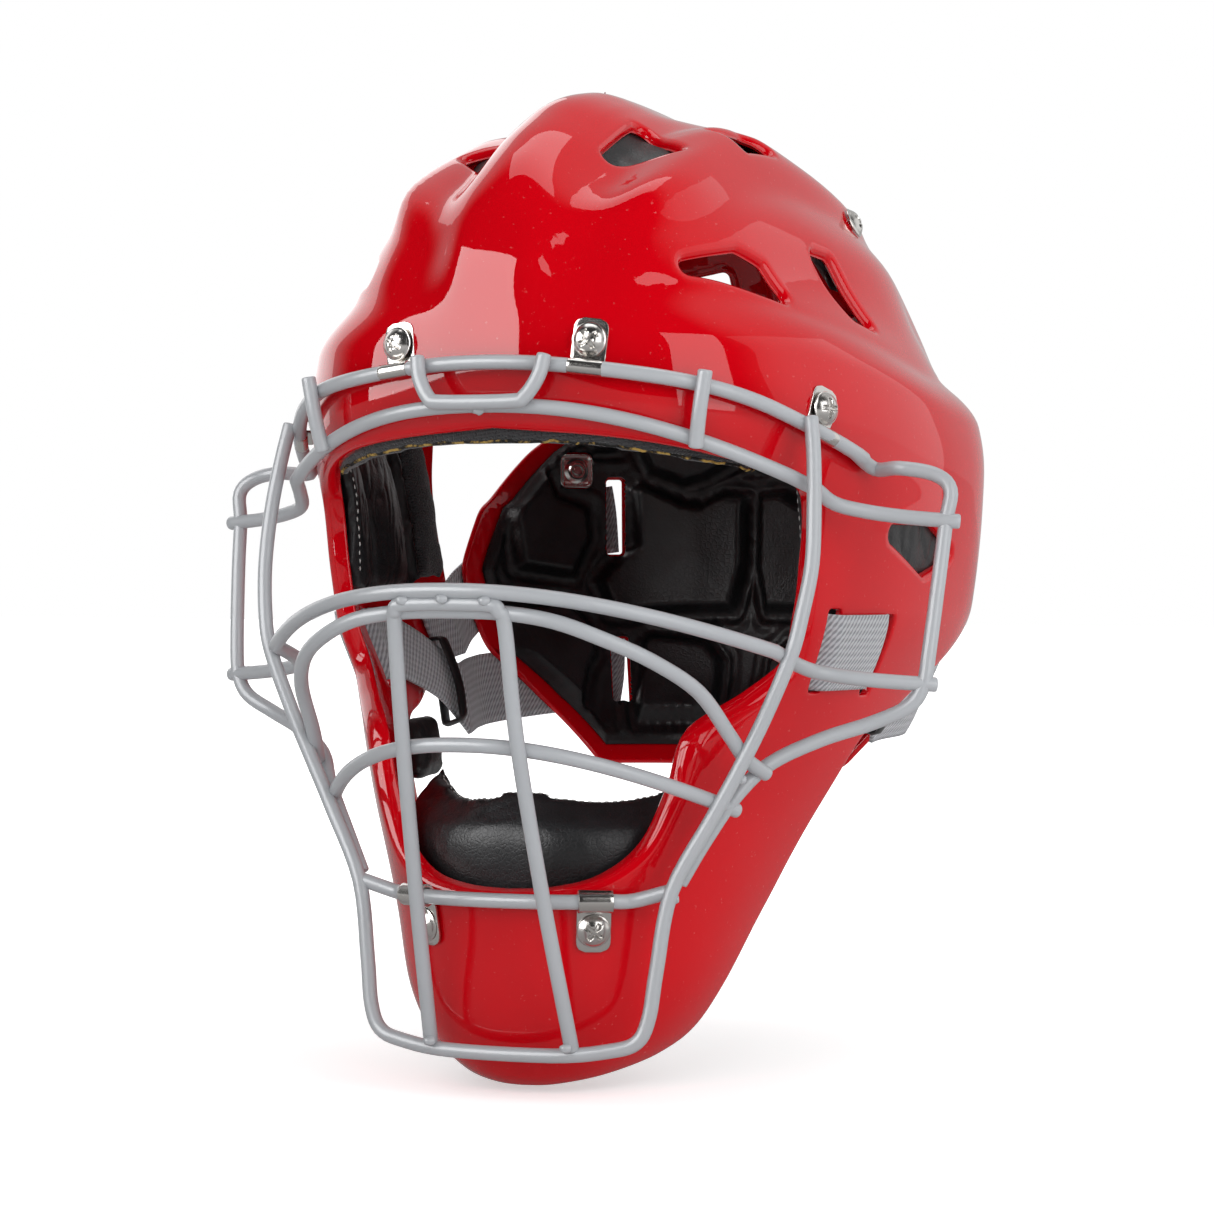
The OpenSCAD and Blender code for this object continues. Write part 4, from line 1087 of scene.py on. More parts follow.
def build_metal():
    """Clips, screws and nuts, each kind as one piece, and the plating of the hinge brackets."""
    plating = chrome_metal()
    for name, at in clip_spots().items():
        centre = chin_bar_at if name == "chin_clips" else top_bar_at
        piece = gather("clip_" + name, [lambda bm: clip_piece(bm, at, centre)])
        stand_for(piece, plating, "helmet", "clip", name)
    reach = mm.wall + SEAT + mm.nut_sag + mm.nut_thick + 1.4
    places = [skin_frame(*p) for p in clip_spots().values()]
    crown, plate = skin_frame(*CROWN_SCREW), skin_frame(*PLATE_SCREW, PLATE_OUT)
    screws = [("screws_of_cage", [lambda bm, p=p, k=k: screw_piece(bm, p, SEAT + mm.clip, reach, 0.5 + k)
                                  for k, p in enumerate(places)], "helmet", "cage_screws"),
              ("screws_of_crown", [lambda bm: screw_piece(bm, crown, SEAT + 0.2, reach + 1, 0.9)], "helmet",
               "crown_screws"),
              ("screws_of_plate", [lambda bm: screw_piece(bm, plate, SEAT, reach - mm.wall + mm.plate, 0.2)],
               "back_plate", "plate_screws")]
    nuts = [("nuts_of_cage", [lambda bm, p=p: nut_piece(bm, p, mm.wall + 2 * SEAT) for p in places], "helmet",
             "cage_nuts"),
            ("nuts_of_crown", [lambda bm: nut_piece(bm, crown, mm.wall + 2 * SEAT + 0.5)], "helmet", "crown_nuts"),
            ("nuts_of_plate", [lambda bm: nut_piece(bm, plate, mm.plate + SEAT)], "back_plate", "plate_nuts")]
    for name, makers, body, node in screws:
        stand_for(gather(name, makers), plating, body, "screw", node)
    for name, makers, body, node in nuts:
        stand_for(gather(name, makers), plating, body, "zinc", node)
    zinc = chrome_metal("zinc_plating", 0.3)
    for node in ("hinge_brackets", "hinge_pins", "bracket_rivets"):
        paint(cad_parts[node], zinc)


# ---------------------------------------------------------------- back plate and liner

# Steps of the plate's top and bottom, and its half width as a step and degrees from the middle of the back
PLATE_TOP, PLATE_LOW = 7.72, 16.4
PLATE_EDGE = np.array([[7.6, 25], [8.2, 31], [9.6, 50], [10.8, 63], [11, 66], [12.3, 74], [14, 72], [15.1, 58],
                       [16.4, 36]])


def plate_edge(t):
    return np.interp(t, PLATE_EDGE[:, 0], PLATE_EDGE[:, 1])


def plate_outline(inset):
    """The plate's edge as turn and step, from the top middle round to the bottom middle."""
    mm_turn, mm_step = 2.1, 16.5
    steps = [PLATE_TOP, *PLATE_EDGE[1:, 0]]
    half = [[0, PLATE_TOP]] + [[plate_edge(t), t] for t in steps] + [[0, PLATE_LOW]]
    flat = np.array(half) * [mm_turn, mm_step]
    path = [flat[0]]
    for a, b, c in zip(flat, flat[1:], flat[2:]):
        ra, rc = unit(a - b), unit(c - b)
        reach = min(5.0, 0.4 * np.linalg.norm(a - b), 0.4 * np.linalg.norm(c - b))
        path += [b + ra * reach * (1 - f) ** 2 + rc * reach * f ** 2 for f in np.linspace(0, 1, 6)]
    path = along(np.array(path + [flat[-1]]), 140)
    out = -sideways(path)
    out[[0, -1]] = [[0, -1], [0, 1]]
    path = path - out * inset
    return np.stack([180 - path[:, 0] / mm_turn, path[:, 1] / mm_step], 1)


def build_plate():
    """The moulded back plate with its strap slots."""
    edge = plate_outline(EDGE)
    edge[[0, -1], 0] = 180
    keep_out = np.vstack([edge, [[190, edge[-1][1]], [190, 30], [60, 30], [60, 0], [190, 0], [190, edge[0][1]]]])
    cuts = [(edge, False, keep_out, 0, (EDGE, mm.plate, 0))]
    for at in PLATE_SLOTS:
        line = slot_outline(at, EDGE)
        cuts.append((line, True, line, 7, (EDGE, mm.plate, 0)))
    return moulding("back_shell", np.linspace(100, 180, 75), np.linspace(7, 17, 80), cuts, PLATE_OUT, mm.plate)


# Padded panels of one half of the liner: degrees from the middle of the back, and steps
PANELS = [
    [(1.6, 10.75), (8, 10.7), (13.5, 10.95), (18, 10.9), (28, 10.45), (30.2, 10.6), (30.2, 11.8), (37.5, 12.3),
     (40.5, 12.6), (37.6, 13.3), (4.4, 13.3), (1.6, 12.3)],
    [(49.5, 9.95), (55, 10.1), (61, 11.1), (60.5, 12.3), (46, 12.5), (40.8, 11.7), (41, 11.0), (48, 10.75)],
    [(27.2, 9.4), (18, 9.3), (7.2, 9.6), (4.5, 9.9), (12, 10.35), (17.5, 10.5), (25.5, 10.15)],
    [(45, 9.15), (31.5, 9.1), (31.5, 9.6), (36.5, 9.6)],
    [(30.2, 13.95), (28, 13.8), (11.5, 14.0), (7, 14.4), (6.5, 15.5), (12, 15.75), (28.5, 15.75), (30.2, 15.4)],
    [(65.5, 13.1), (49, 12.95), (43.2, 13.5), (42, 14.2), (45, 14.6), (46, 15.7), (52, 15.7), (63, 14.7)]]
# Roughly how many mm a degree and a step take up on the liner
MM_TURN, MM_STEP = 1.6, 17.0
LINER_TOP, LINER_LOW = 8.9, PLATE_LOW - 0.3


def depth_in(points, outline):
    """How far flat points lie inside a closed outline; outside is negative."""
    far = np.full(len(points), 1e9)
    for a, b in zip(outline, np.roll(outline, -1, 0)):
        run = b - a
        f = np.clip(((points - a) @ run) / (run @ run), 0, 1)
        far = np.minimum(far, np.linalg.norm(points - a - f[:, None] * run, axis=1))
    return np.where(inside(points, outline), far, -far)


def liner_edge(t):
    """Half width of the liner at a step, in degrees from the middle of the back."""
    return plate_edge(t) - 5


def liner_height(a, t, thick):
    """Height of the quilted liner over its backing: flat-topped panels between soft folded channels."""
    flat = np.stack([np.abs(180 - a) * MM_TURN, t * MM_STEP], -1)
    border = np.full(len(flat), -1e9)
    for panel in PANELS:
        border = np.maximum(border, depth_in(flat, np.array(panel) * [MM_TURN, MM_STEP]))
    rim = np.minimum((liner_edge(t) - np.abs(180 - a)) * MM_TURN, np.minimum(t - LINER_TOP, LINER_LOW - t) * MM_STEP)
    swell = ramp(-1.0, 3.0, border) + 0.10 * ramp(0, 26, border)
    seam = bell(border + 2.6, 1.3) * 0.5
    fold = bell(border + 6.0, 3.0) * (1.0 + 0.35 * np.sin(flat[:, 0] * 0.55 + 2 * np.sin(flat[:, 1] * 0.21)))
    wrinkle = bell(border, 5.0) * 0.16 * np.sin(flat[:, 0] * 1.3 + flat[:, 1] * 0.8 + 3 * np.sin(flat[:, 1] * 0.13))
    piping = 1.2 * bell(rim - 3.2, 3.0)
    rise = 1.3 + (thick - 1.9) * swell * ramp(0, 5, rim) + (fold + wrinkle - seam) * ramp(0, 4, rim) + piping
    return rise * (0.35 + 0.65 * ramp(-0.5, 2.0, rim))


def build_liner():
    """The quilted pad inside the back plate, open at the strap slots and round the plate's screws."""
    top, thick = PLATE_OUT - mm.plate - 0.9, mm.liner
    bm = bmesh.new()
    nx, ny = 216, 132
    bmesh.ops.create_grid(bm, x_segments=nx, y_segments=ny, size=1)
    place = bm.verts.layers.float_vector.new("place")
    holes = [slot_outline(at, EDGE) for at in PLATE_SLOTS]
    holes.append(np.array(on_frame(*PLATE_SCREW, rounded([[-4, -4], [4, -4], [4, 4], [-4, 4]], 3.4))))
    for v in bm.verts:
        t = LINER_TOP + (LINER_LOW - LINER_TOP) * (1 - v.co.y) / 2
        v[place] = (180 + v.co.x * liner_edge(t), t, 0)
    at = np.array([v[place][:2] for v in bm.verts])
    folded = np.stack([180 - np.abs(180 - at[:, 0]), at[:, 1]], 1)
    for hole in holes:
        middle, scale = hole.mean(0), np.array([MM_TURN, MM_STEP])
        gap = depth_in(folded * scale, hole * scale)
        for v, q, d in zip(bm.verts, folded, gap):
            if -1.2 < d < 0.7:
                way = (q - middle) * scale
                way = way / np.linalg.norm(way) * (d + 0.05) / scale
                v[place] = (v[place][0] + way[0] * (1 if v[place][0] < 180 else -1), v[place][1] + way[1], 0)
    centres = np.array([np.mean([v[place][:2] for v in f.verts], 0) for f in bm.faces])
    folded = np.stack([180 - np.abs(180 - centres[:, 0]), centres[:, 1]], 1)
    hit = np.zeros(len(folded), bool)
    for hole in holes:
        hit |= inside(folded, hole)
    bmesh.ops.delete(bm, geom=[f for f, h in zip(bm.faces[:], hit) if h], context="FACES")
    out = bmesh.ops.extrude_face_region(bm, geom=bm.faces[:], use_keep_orig=True)["geom"]
    for v in out:
        if isinstance(v, bmesh.types.BMVert):
            v[place] = (v[place][0], v[place][1], 1)
    at = np.array([v[place] for v in bm.verts])
    rise = liner_height(at[:, 0], at[:, 1], thick)
    for v, p in zip(bm.verts, skin(at[:, 0], at[:, 1], top - rise * (at[:, 2] > 0.5))):
        v.co = p
    return finish_mm("quilted_liner", bm)


# ---------------------------------------------------------------- straps and buckles

# How far the lower strap hangs inwards at its buckle in mm, and the buckle's turn
BUCKLE_DROP = 4.4
BUCKLE_TURN = 82.0


def upper_top(a):
    """Step of the upper strap's top edge at turn a."""
    return np.interp(a, [88, 100, 109, 142, 147], [12.75, 12.6, 12.1, 10.5, 10.47])


def upper_middle(a):
    """Offset of the middle of the upper strap's thickness at turn a."""
    return (mm.strap_under + (mm.plate_over + SEAT - mm.strap_under) * ramp(100, 106, a)
            - (mm.slot_drop + SEAT) * ramp(143.8, 146.5, a))


def lower_top(a):
    return np.interp(a, [58, 64, 70, 90, 106, 147], [13, 13.05, 13.3, 14.3, 14.08, 13.82])


def lower_middle(a):
    return (mm.strap_under + (mm.strap_over - mm.strap_under) * ramp(40.8, 44.2, a) * ramp(58.7, 55.3, a)
            - BUCKLE_DROP * ramp(60, 78, a) + (mm.plate_over - mm.strap_under + BUCKLE_DROP) * ramp(90, 106, a)
            - mm.slot_drop * ramp(143.5, 146.4, a))


def ribbon(name, turns, top, tall, middle, side):
    """Flat woven elastic along the skin, its weave laid out by UV in metres."""
    bm = bmesh.new()
    nx, ny = len(turns) - 1, 14
    bmesh.ops.create_grid(bm, x_segments=nx, y_segments=ny, size=1, calc_uvs=True)
    uv = bm.loops.layers.uv.verify()
    place = bm.verts.layers.float_vector.new("place")
    for v in bm.verts:
        v[place] = (turns[round((v.co.x + 1) / 2 * nx)], (v.co.y + 1) / 2, 0)
    mid = skin(turns, top(np.array(turns)) + tall / 2, middle(np.array(turns)))
    run = dict(zip(turns, np.concatenate([[0], np.cumsum(np.linalg.norm(np.diff(mid, axis=0), axis=1))])))
    for f in bm.faces:
        for loop in f.loops:
            loop[uv].uv = (run[min(turns, key=lambda q: abs(q - loop.vert[place][0]))] * MM,
                           loop.vert[place][1] * mm.strap * MM)
    out = bmesh.ops.extrude_face_region(bm, geom=bm.faces[:], use_keep_orig=True)["geom"]
    for v in out:
        if isinstance(v, bmesh.types.BMVert):
            v[place] = (v[place][0], v[place][1], 1)
    at = np.array([v[place] for v in bm.verts])
    thin = 0.30 * (1 - np.minimum(1, 8 * np.minimum(at[:, 1], 1 - at[:, 1])))
    t = top(at[:, 0]) + tall * (1 - at[:, 1])
    off = middle(at[:, 0]) + np.where(at[:, 2] > 0.5, -1, 1) * mm.strap_thick / 2 * (1 - thin)
    for v, p in zip(bm.verts, skin(at[:, 0], t, off) * [side, 1, 1]):
        v.co = p
    return finish_mm(name, bm)


def elastic(colour):
    """Woven elastic: slanting ribs over fine rows, laid out by the straps' UV, with painted shade in the weave's
    grooves.
    """
    f = Finish("woven_elastic")
    at = f.node("ShaderNodeTexCoord", out="UV")
    across = f.waves(f.node("ShaderNodeMapping", {}, {"Vector": at, "Rotation": (0, 0, 0.62)}), 210, "X")
    ribs = f.waves(at, 125, "Y")
    yarn = f.noise(f.node("ShaderNodeMapping", {}, {"Vector": at, "Scale": (400, 1500, 1)}), 1, 3)
    height = across * 0.6 + ribs * 0.3 + yarn * 0.2
    # Painted shade: the weave's low parts, by the same height as the bump, are darkened towards half the elastic
    # colour.
    shade = height.between(0.25, 0.8)
    base = f.mix(shade, tuple(0.52 * c for c in colour), colour)
    return f.set(base_color=base, roughness=0.85 - 0.1 * shade, sheen_weight=0.3, specular_ior_level=0.3,
                 normal=f.bump(height, 0.0006, 0.9))


def buckle_ring(name, side):
    """A ring buckle round the strap: a rounded bar swept round the strap's section."""
    bm = bmesh.new()
    wide, deep = (mm.strap + 2.5) / 2, mm.strap_thick / 2 + 1.6
    loop = rounded([[-wide, -deep], [wide, -deep], [wide, deep], [-wide, deep]], 0.9, 72)
    normals = -sideways(np.vstack([loop, loop[:2]]))[:-2]
    ring = bmesh.ops.create_circle(bm, segments=12, radius=1)["verts"]
    key = {v: (math.copysign(abs(v.co.x) ** 0.55, v.co.x) * 2.2, 0.4 + v.co.y * 0.85) for v in ring}

    def spot(v, k):
        ahead, grow = key[v]
        p = loop[k] + normals[k] * grow
        return skin(BUCKLE_TURN + ahead, lower_top(BUCKLE_TURN) + mm.strap / 36 + p[0] / 18,
                    float(lower_middle(BUCKLE_TURN + ahead)) + p[1]) * [side, 1, 1]

    for v in ring:
        v.co = spot(v, 0)
    edges = bm.edges[:]
    for k in list(range(1, len(loop))) + [0]:
        edges = extend(bm, edges, key, lambda v: spot(v, k))
    return finish_mm(name, bm, 40)


def black_nylon():
    """Moulded nylon of the buckles, scuffed in places."""
    f = Finish("black_moulded_nylon")
    at = f.place()
    grain = f.noise(at, 900, 2)
    scuff = f.noise(at, 120, 4, 0.7).between(0.62, 0.75)
    return f.set(base_color=f.mix(scuff, (0.012, 0.012, 0.013), (0.05, 0.05, 0.052)), roughness=0.34 + 0.2 * scuff,
                 specular_ior_level=0.5, normal=f.bump(grain, 0.00006, 0.5))


def build_straps():
    """The four straps and the two ring buckles."""
    weave, nylon = elastic(chosen("elastic")), black_nylon()
    upper_turns = np.concatenate([np.linspace(88, 100, 8), np.linspace(101, 106, 7), np.linspace(109, 142, 16),
                                  np.linspace(143.5, 145.9, 10)])
    lower_turns = np.concatenate([np.linspace(38, 40.5, 3), np.linspace(40.9, 44.2, 10), np.linspace(45, 55, 8),
                                  np.linspace(55.3, 58.7, 10), np.linspace(60, 90, 24), np.linspace(92, 106, 12),
                                  np.linspace(109, 141, 16), np.linspace(143.1, 145.6, 10)])
    rows = ((("upper_elastic", "upper_strap"), upper_turns, upper_top, mm.strap / 17.8, upper_middle, (102, 138)),
            (("lower_elastic", "lower_strap"), lower_turns, lower_top, mm.strap / 18, lower_middle, (92, 138)))
    for side, word in ((1, "left"), (-1, "right")):
        for (name, node), turns, top, tall, middle, ends in rows:
            strap = paint(ribbon(f"{name}_{word}", list(turns), top, tall, middle, side), weave)
            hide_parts(f"{node}_{word}")
            start, end = (skin(a, top(a) + tall / 2, float(middle(a))) * [side, 1, 1] * MM for a in ends)
            tuple(start)
            tuple(end)
            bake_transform(strap)
        stand_for(buckle_ring("ring_buckle_" + word, side), nylon, "buckle_" + word, "buckle", "strap_buckle_" + word)


# ---------------------------------------------------------------- pads

def strip(turns, top, low):
    """Lays a pad's flat plan along the skin between two edges given as steps."""
    def spot(u, w):
        a = (turns[0] + turns[1]) / 2 + (turns[1] - turns[0]) / 2 * u
        return a, top(a) + (low(a) - top(a)) * (1 - w) / 2
    return spot


def crown_disc(u, w):
    """Lays a pad's flat plan over the crown, with a bite round each crown nut."""
    x, y = u * np.sqrt(1 - w * w / 2), w * np.sqrt(1 - u * u / 2)
    a = np.degrees(np.arctan2(x, -y))
    return a, np.hypot(x, y) * (4.3 - 0.55 * bell(np.abs(a) - 122, 16))


def cushion(name, spot, outer, inner, cells, shrink=0.95, rolls=None):
    """A crowned closed pad lying along the inside of the skin. Its corners are rounded, its sides
    fall off to the middle of its thickness, and rolls(turn) deepens or hollows its inner face."""
    crown, rim = 0.25, 7.0
    bm = bmesh.new()
    bmesh.ops.create_grid(bm, x_segments=cells[0], y_segments=cells[1], size=1)
    place = bm.verts.layers.float_vector.new("place")
    for v in bm.verts:
        u, w = v.co.x, v.co.y
        k = max(abs(u), abs(w))
        s = k / (abs(u) ** 6 + abs(w) ** 6) ** (1 / 6) if k > 1e-6 else 1
        v[place] = (u * s, w * s, 1)
    out = bmesh.ops.extrude_face_region(bm, geom=bm.faces[:], use_keep_orig=True)["geom"]
    for v in out:
        if isinstance(v, bmesh.types.BMVert):
            v[place] = (v[place][0], v[place][1], -1)
    at = np.array([v[place] for v in bm.verts])
    a, t = spot(at[:, 0] * shrink, at[:, 1] * shrink)
    edge = np.minimum(np.maximum(np.abs(at[:, 0]), np.abs(at[:, 1])), 1)
    fall = np.sqrt(1 - edge ** rim)
    deep = inner + (rolls(a) if rolls else 0)
    middle = (outer + deep) / 2
    puff = 1 - crown * (1 - (1 - at[:, 0] ** 2) * (1 - at[:, 1] ** 2))
    off = middle + (outer - deep) / 2 * fall * np.where(at[:, 2] > 0, 1, -puff)
    for v, p in zip(bm.verts, skin(a, t, off)):
        v.co = p
    return finish_mm(name, bm)


def inflate(piece, voxel=0.0035, pressure=4.0, cap=0.004):
    """Swells a pad by a short cloth simulation. A point moves no further than the cap, and hardly
    at all towards the shell that the pad lies against."""
    scene = bpy.context.scene
    remesh = piece.modifiers.new("remesh", "REMESH")
    remesh.mode, remesh.voxel_size, remesh.use_smooth_shade = "VOXEL", voxel, True
    piece.data = applied(piece)
    before = np.array([v.co for v in piece.data.vertices])
    cloth = piece.modifiers.new("swell", "CLOTH")
    cloth.settings.use_pressure, cloth.settings.uniform_pressure_force = True, pressure
    cloth.settings.effector_weights.gravity = 0
    cloth.settings.quality, cloth.settings.mass = 6, 0.3
    cloth.point_cache.frame_start, cloth.point_cache.frame_end = 1, 20
    for moment in range(1, 21):
        scene.frame_set(moment)
    move = np.array([v.co for v in applied(piece).vertices]) - before
    far = np.maximum(np.linalg.norm(move, axis=1, keepdims=True), 1e-9)
    move = move / far * cap * np.tanh(far / cap)
    out = unit(before * [1, 1, 0.6] - [0, 0.01, 0])
    reach = np.sum(move * out, axis=1, keepdims=True)
    move -= out * np.maximum(reach - 0.0004, 0)
    piece.data.vertices.foreach_set("co", (before + move).ravel())
    scene.frame_set(1)
    smooth = piece.modifiers.new("finer", "SUBSURF")
    smooth.levels = smooth.render_levels = 1
    piece.data = applied(piece)
    for p in piece.data.polygons:
        p.use_smooth = True
    return piece


def applied(piece):
    """The piece's mesh with its modifiers applied; the modifiers are taken off."""
    graph = bpy.context.evaluated_depsgraph_get()
    mesh = bpy.data.meshes.new_from_object(piece.evaluated_get(graph))
    piece.modifiers.clear()
    return mesh


def crease(piece, stretch, depth, where=None):
    """Presses fine leather creases into a pad: sharp valleys of a noise drawn out along them."""
    mesh = piece.data
    moved = []
    for v in mesh.vertices:
        k = where(v.co / MM) if where else 1.0
        ridge = 1 - abs(noise.noise(Vector(v.co[i] * stretch[i] for i in range(3)))) * 2.2
        soft = noise.noise(Vector(v.co[i] * stretch[i] * 0.37 for i in range(3)) + Vector((7, 3, 1)))
        moved.append(v.co - v.normal * depth * k * (max(ridge, 0) ** 3 + 0.5 * soft))
    for v, p in zip(mesh.vertices, moved):
        v.co = p
    return piece


def thread_row(name, piece, line, pitch, size):
    """A row of thread stitches lying on a piece: short beads along a line given in mm."""
    bm = bmesh.new()
    length = np.linalg.norm(np.diff(line, axis=0), axis=1).sum()
    spots = along(line, int(length / pitch))
    hits = [piece.closest_point_on_mesh(Vector(p) * MM)[1:3] for p in spots]
    places = np.array([h[0] for h in hits]) / MM
    for (_, n), p, run in zip(hits, places, unit(np.gradient(places, axis=0))):
        n = np.array(n)
        side = np.cross(run, n)
        for v in bmesh.ops.create_icosphere(bm, subdivisions=1, radius=1)["verts"]:
            v.co = p + n * (v.co.z * size[1] * 0.7 + 0.1) + run * v.co.x * size[0] + side * v.co.y * size[1]
    return finish_mm(name, bm)


def frayed_cord():
    """Dark cord worn down to its yellow core."""
    f = Finish("frayed_cord")
    at = f.place()
    bald = f.noise(at, 170, 3, 0.7)
    base = f.mix(bald.between(0.46, 0.60), linear(24, 23, 22), linear(168, 138, 70))
    return f.set(base_color=base, roughness=0.85, specular_ior_level=0.3,
                 normal=f.bump(f.noise(at, 1500, 2), 0.0003, 0.8))


def stitching_thread():
    """Pale twisted thread."""
    f, colour = Finish("stitching_thread"), chosen("thread")
    twist = f.noise(f.place((1, 1, 1)), 2600, 2)
    return f.set(base_color=f.mix(twist, tuple(0.7 * c for c in colour), colour), roughness=0.8,
                 normal=f.bump(twist, 0.0001, 0.6))


# Section of the chin cup as step and depth
CHIN_LINE = [(18.24, -13), (18.02, -10.4), (17.62, -9.8), (17.30, -10.2), (17.02, -11.4), (16.84, -13.4),
             (16.74, -16), (16.68, -19), (16.58, -22), (16.48, -25), (16.46, -27.4), (16.56, -29), (16.80, -29.6),
             (17.3, -29.2), (18.1, -28.6), (18.26, -26), (18.28, -19)]
CHIN_STEP = 17.2


def chin_rise(a):
    """How much taller the chin cup is at turn a than at the middle."""
    return 1 + 0.28 * ramp(16, 44, np.abs(a))


def chin_section(a):
    """Step and depth of the chin pad's section: a front face sloping back, a ridge, then a soft top."""
    hug = ramp(26, 44, abs(a))
    return [(CHIN_STEP + (t - CHIN_STEP) * (chin_rise(a) if t < CHIN_STEP else 1),
             -19.5 + 4.6 * hug + (d + 19.5) * (1 - 0.08 * hug)) for t, d in CHIN_LINE]


def build_chin(leather, thread):
    """The chin cup: one long block bent round the chin, its section carried from ear to ear."""
    bm = bmesh.new()
    full, rest = 47, 4.5
    far = np.concatenate([np.linspace(0, full, 24)[1:], full + rest * np.sin(np.radians([18, 36, 52, 66, 78, 86]))])
    turns = np.concatenate([-far[::-1], [0], far])
    ring = bmesh.ops.create_circle(bm, segments=64, radius=1)["verts"]
    key = {v: i for i, v in enumerate(ring)}

    def spot(i, a):
        line = along(smooth_line(chin_section(a) + chin_section(a)[:1], 6)[:-1], 64, True)
        t, d = line[i]
        end = math.sqrt(max(1 - (max(abs(a) - full, 0) / rest) ** 2, 0.002))
        return skin(a, CHIN_STEP + (t - CHIN_STEP) * end, -15 + (d + 15) * end)

    for v in ring:
        v.co = spot(key[v], turns[0])
    first = edges = bm.edges[:]
    for a in turns[1:]:
        edges = extend(bm, edges, key, lambda v: spot(key[v], a))
    for loop in (first, edges):
        bmesh.ops.contextual_create(bm, geom=loop)
    bmesh.ops.triangulate(bm, faces=[f for f in bm.faces if len(f.verts) > 4])
    cup = inflate(finish_mm("chin_cup", bm), 0.0035, 2.5, 0.0016)
    crease(cup, (70, 70, 170), 0.0006, lambda p: float(ramp(-92, -86, p.z) * ramp(10, -10, p.x)))
    crease(cup, (300, 300, 300), 0.00012)
    stand_for(cup, leather, "helmet", "leather", "chin_pad")
    a = np.linspace(-42, 42, 60)
    seam = thread_row("chin_seam_thread", cup, skin(a, CHIN_STEP - 0.74 * chin_rise(a), -27.2), 2.7, (0.95, 0.34))
    stand_for(seam, thread, "helmet", "leather")


def build_pads(leather, knit, thread):
    """The temple, jaw, crown and brow pads, each pair as one pad and its mirror image."""
    def level(v):
        return lambda a: v + 0 * np.asarray(a, float)

    def temple_rolls(a):
        recess = 5.6 * ramp(74, 77, a) * (1 - 0.8 * ramp(84, 86.5, a))
        return recess + 2.4 * bell(a - 50.8, 1.8) - 2.6 * bell(a - 63, 12.5)

    def brow_edge(v):
        return lambda a: v + 0.8 * (a / 37) ** 2

    specs = [
        ("temple_cushion", "temple_pad", strip((39, 88.4), level(9.3), level(12.85)), mm.pad_out - 0.2,
         mm.pad_out - mm.pad, (120, 44), temple_rolls, 0.985, (170, 170, 60), 0.0006, 0.0024),
        ("temple_knit", None, strip((88.4, 99), level(9.3), level(12.55)), mm.pad_out - 0.4, mm.pad_out - 6.5, (12, 40),
         None, 0.99, (60, 60, 60), 0.0003, 0.003),
        ("jaw_cushion", "jaw_pad", strip((52, 70), level(15.2), level(16.4)), mm.pad_out - 0.2, mm.pad_out - mm.pad,
         (28, 16), None, 0.95, (160, 160, 160), 0.0003, 0.003),
        ("crown_side_cushion", "crown_side_pad", strip((78, 146), level(4.8), level(6.0)), mm.pad_out - 0.9,
         mm.pad_out - mm.pad, (60, 16), None, 0.95, (160, 160, 160), 0.0003, 0.0035),
    ]
    for name, node, spot, outer, inner, cells, rolls, shrink, stretch, depth, voxel in specs:
        left = inflate(cushion(name + "_left", spot, outer, inner, cells, shrink, rolls=rolls), voxel, cap=0.0016)
        crease(left, stretch, depth)
        right = mirrored_piece(left, name + "_right")
        for piece, word in ((left, "left"), (right, "right")):
            if node:
                stand_for(piece, leather, "helmet", "leather", f"{node}_{word}")
            else:
                stand_for(piece, knit, "helmet", "pad_fabric")
            if node == "temple_pad":
                side = 1 if word == "left" else -1
                line = skin(40.4, np.linspace(10.0, 12.3, 30), mm.pad_out - mm.pad) * [side, 1, 1]
                stand_for(thread_row("temple_thread_" + word, piece, line, 2.7, (0.95, 0.3)),
                          thread, "helmet", "leather")
    brow = inflate(cushion("brow_cushion", strip((-36, 36), brow_edge(8.75), brow_edge(9.95)), mm.pad_out - 0.5,
                           mm.pad_out - mm.pad, (80, 14)), 0.003, cap=0.002)
    stand_for(brow, knit, "helmet", "pad_fabric", "brow_pad")
    a = np.linspace(-35, 35, 160)
    wave = np.array([[noise.noise(Vector((v, k, 0.7))) for v in a * 0.9] for k in (0, 5)])
    seam = skin(a, brow_edge(9.84)(a) + 0.05 * wave[0], -5.4 + wave[1])
    frayed = thread_row("brow_seam", brow, seam, 1.15, (1.25, 0.62))
    stand_for(frayed, finish_of(frayed_cord), "helmet", "pad_fabric")
    crown = inflate(cushion("crown_cushion", crown_disc, mm.pad_out - 0.3, mm.pad_out - mm.pad, (44, 44), 0.97),
                    0.004)
    stand_for(crown, leather, "helmet", "leather", "crown_pad")


def mirrored_piece(piece, name):
    """A new piece, the mirror image of a piece across the middle of the mask."""
    bm = bmesh.new()
    bm.from_mesh(piece.data)
    bmesh.ops.scale(bm, vec=(-1, 1, 1), verts=bm.verts)
    bmesh.ops.reverse_faces(bm, faces=bm.faces)
    return new_object(name, bm)


# ---------------------------------------------------------------- stage

def softbox(name, at, size, power):
    """A white rectangular lamp at a place, turned to the middle of the mask."""
    lamp = bpy.data.lights.new(name, "AREA")
    lamp.shape, lamp.size, lamp.size_y, lamp.energy = "RECTANGLE", *size, power
    holder = bpy.data.objects.new(name, lamp)
    holder.location = at
    holder.rotation_euler = Vector(at).to_track_quat("Z", "Y").to_euler()
    bpy.context.scene.collection.objects.link(holder)
    return holder


def seen_by(f):
    """Whether a ray comes straight from the camera, from a glossy surface or through a clear one."""
    return (f.node("ShaderNodeLightPath", out=f"Is {kind} Ray") for kind in ("Camera", "Glossy", "Transmission"))


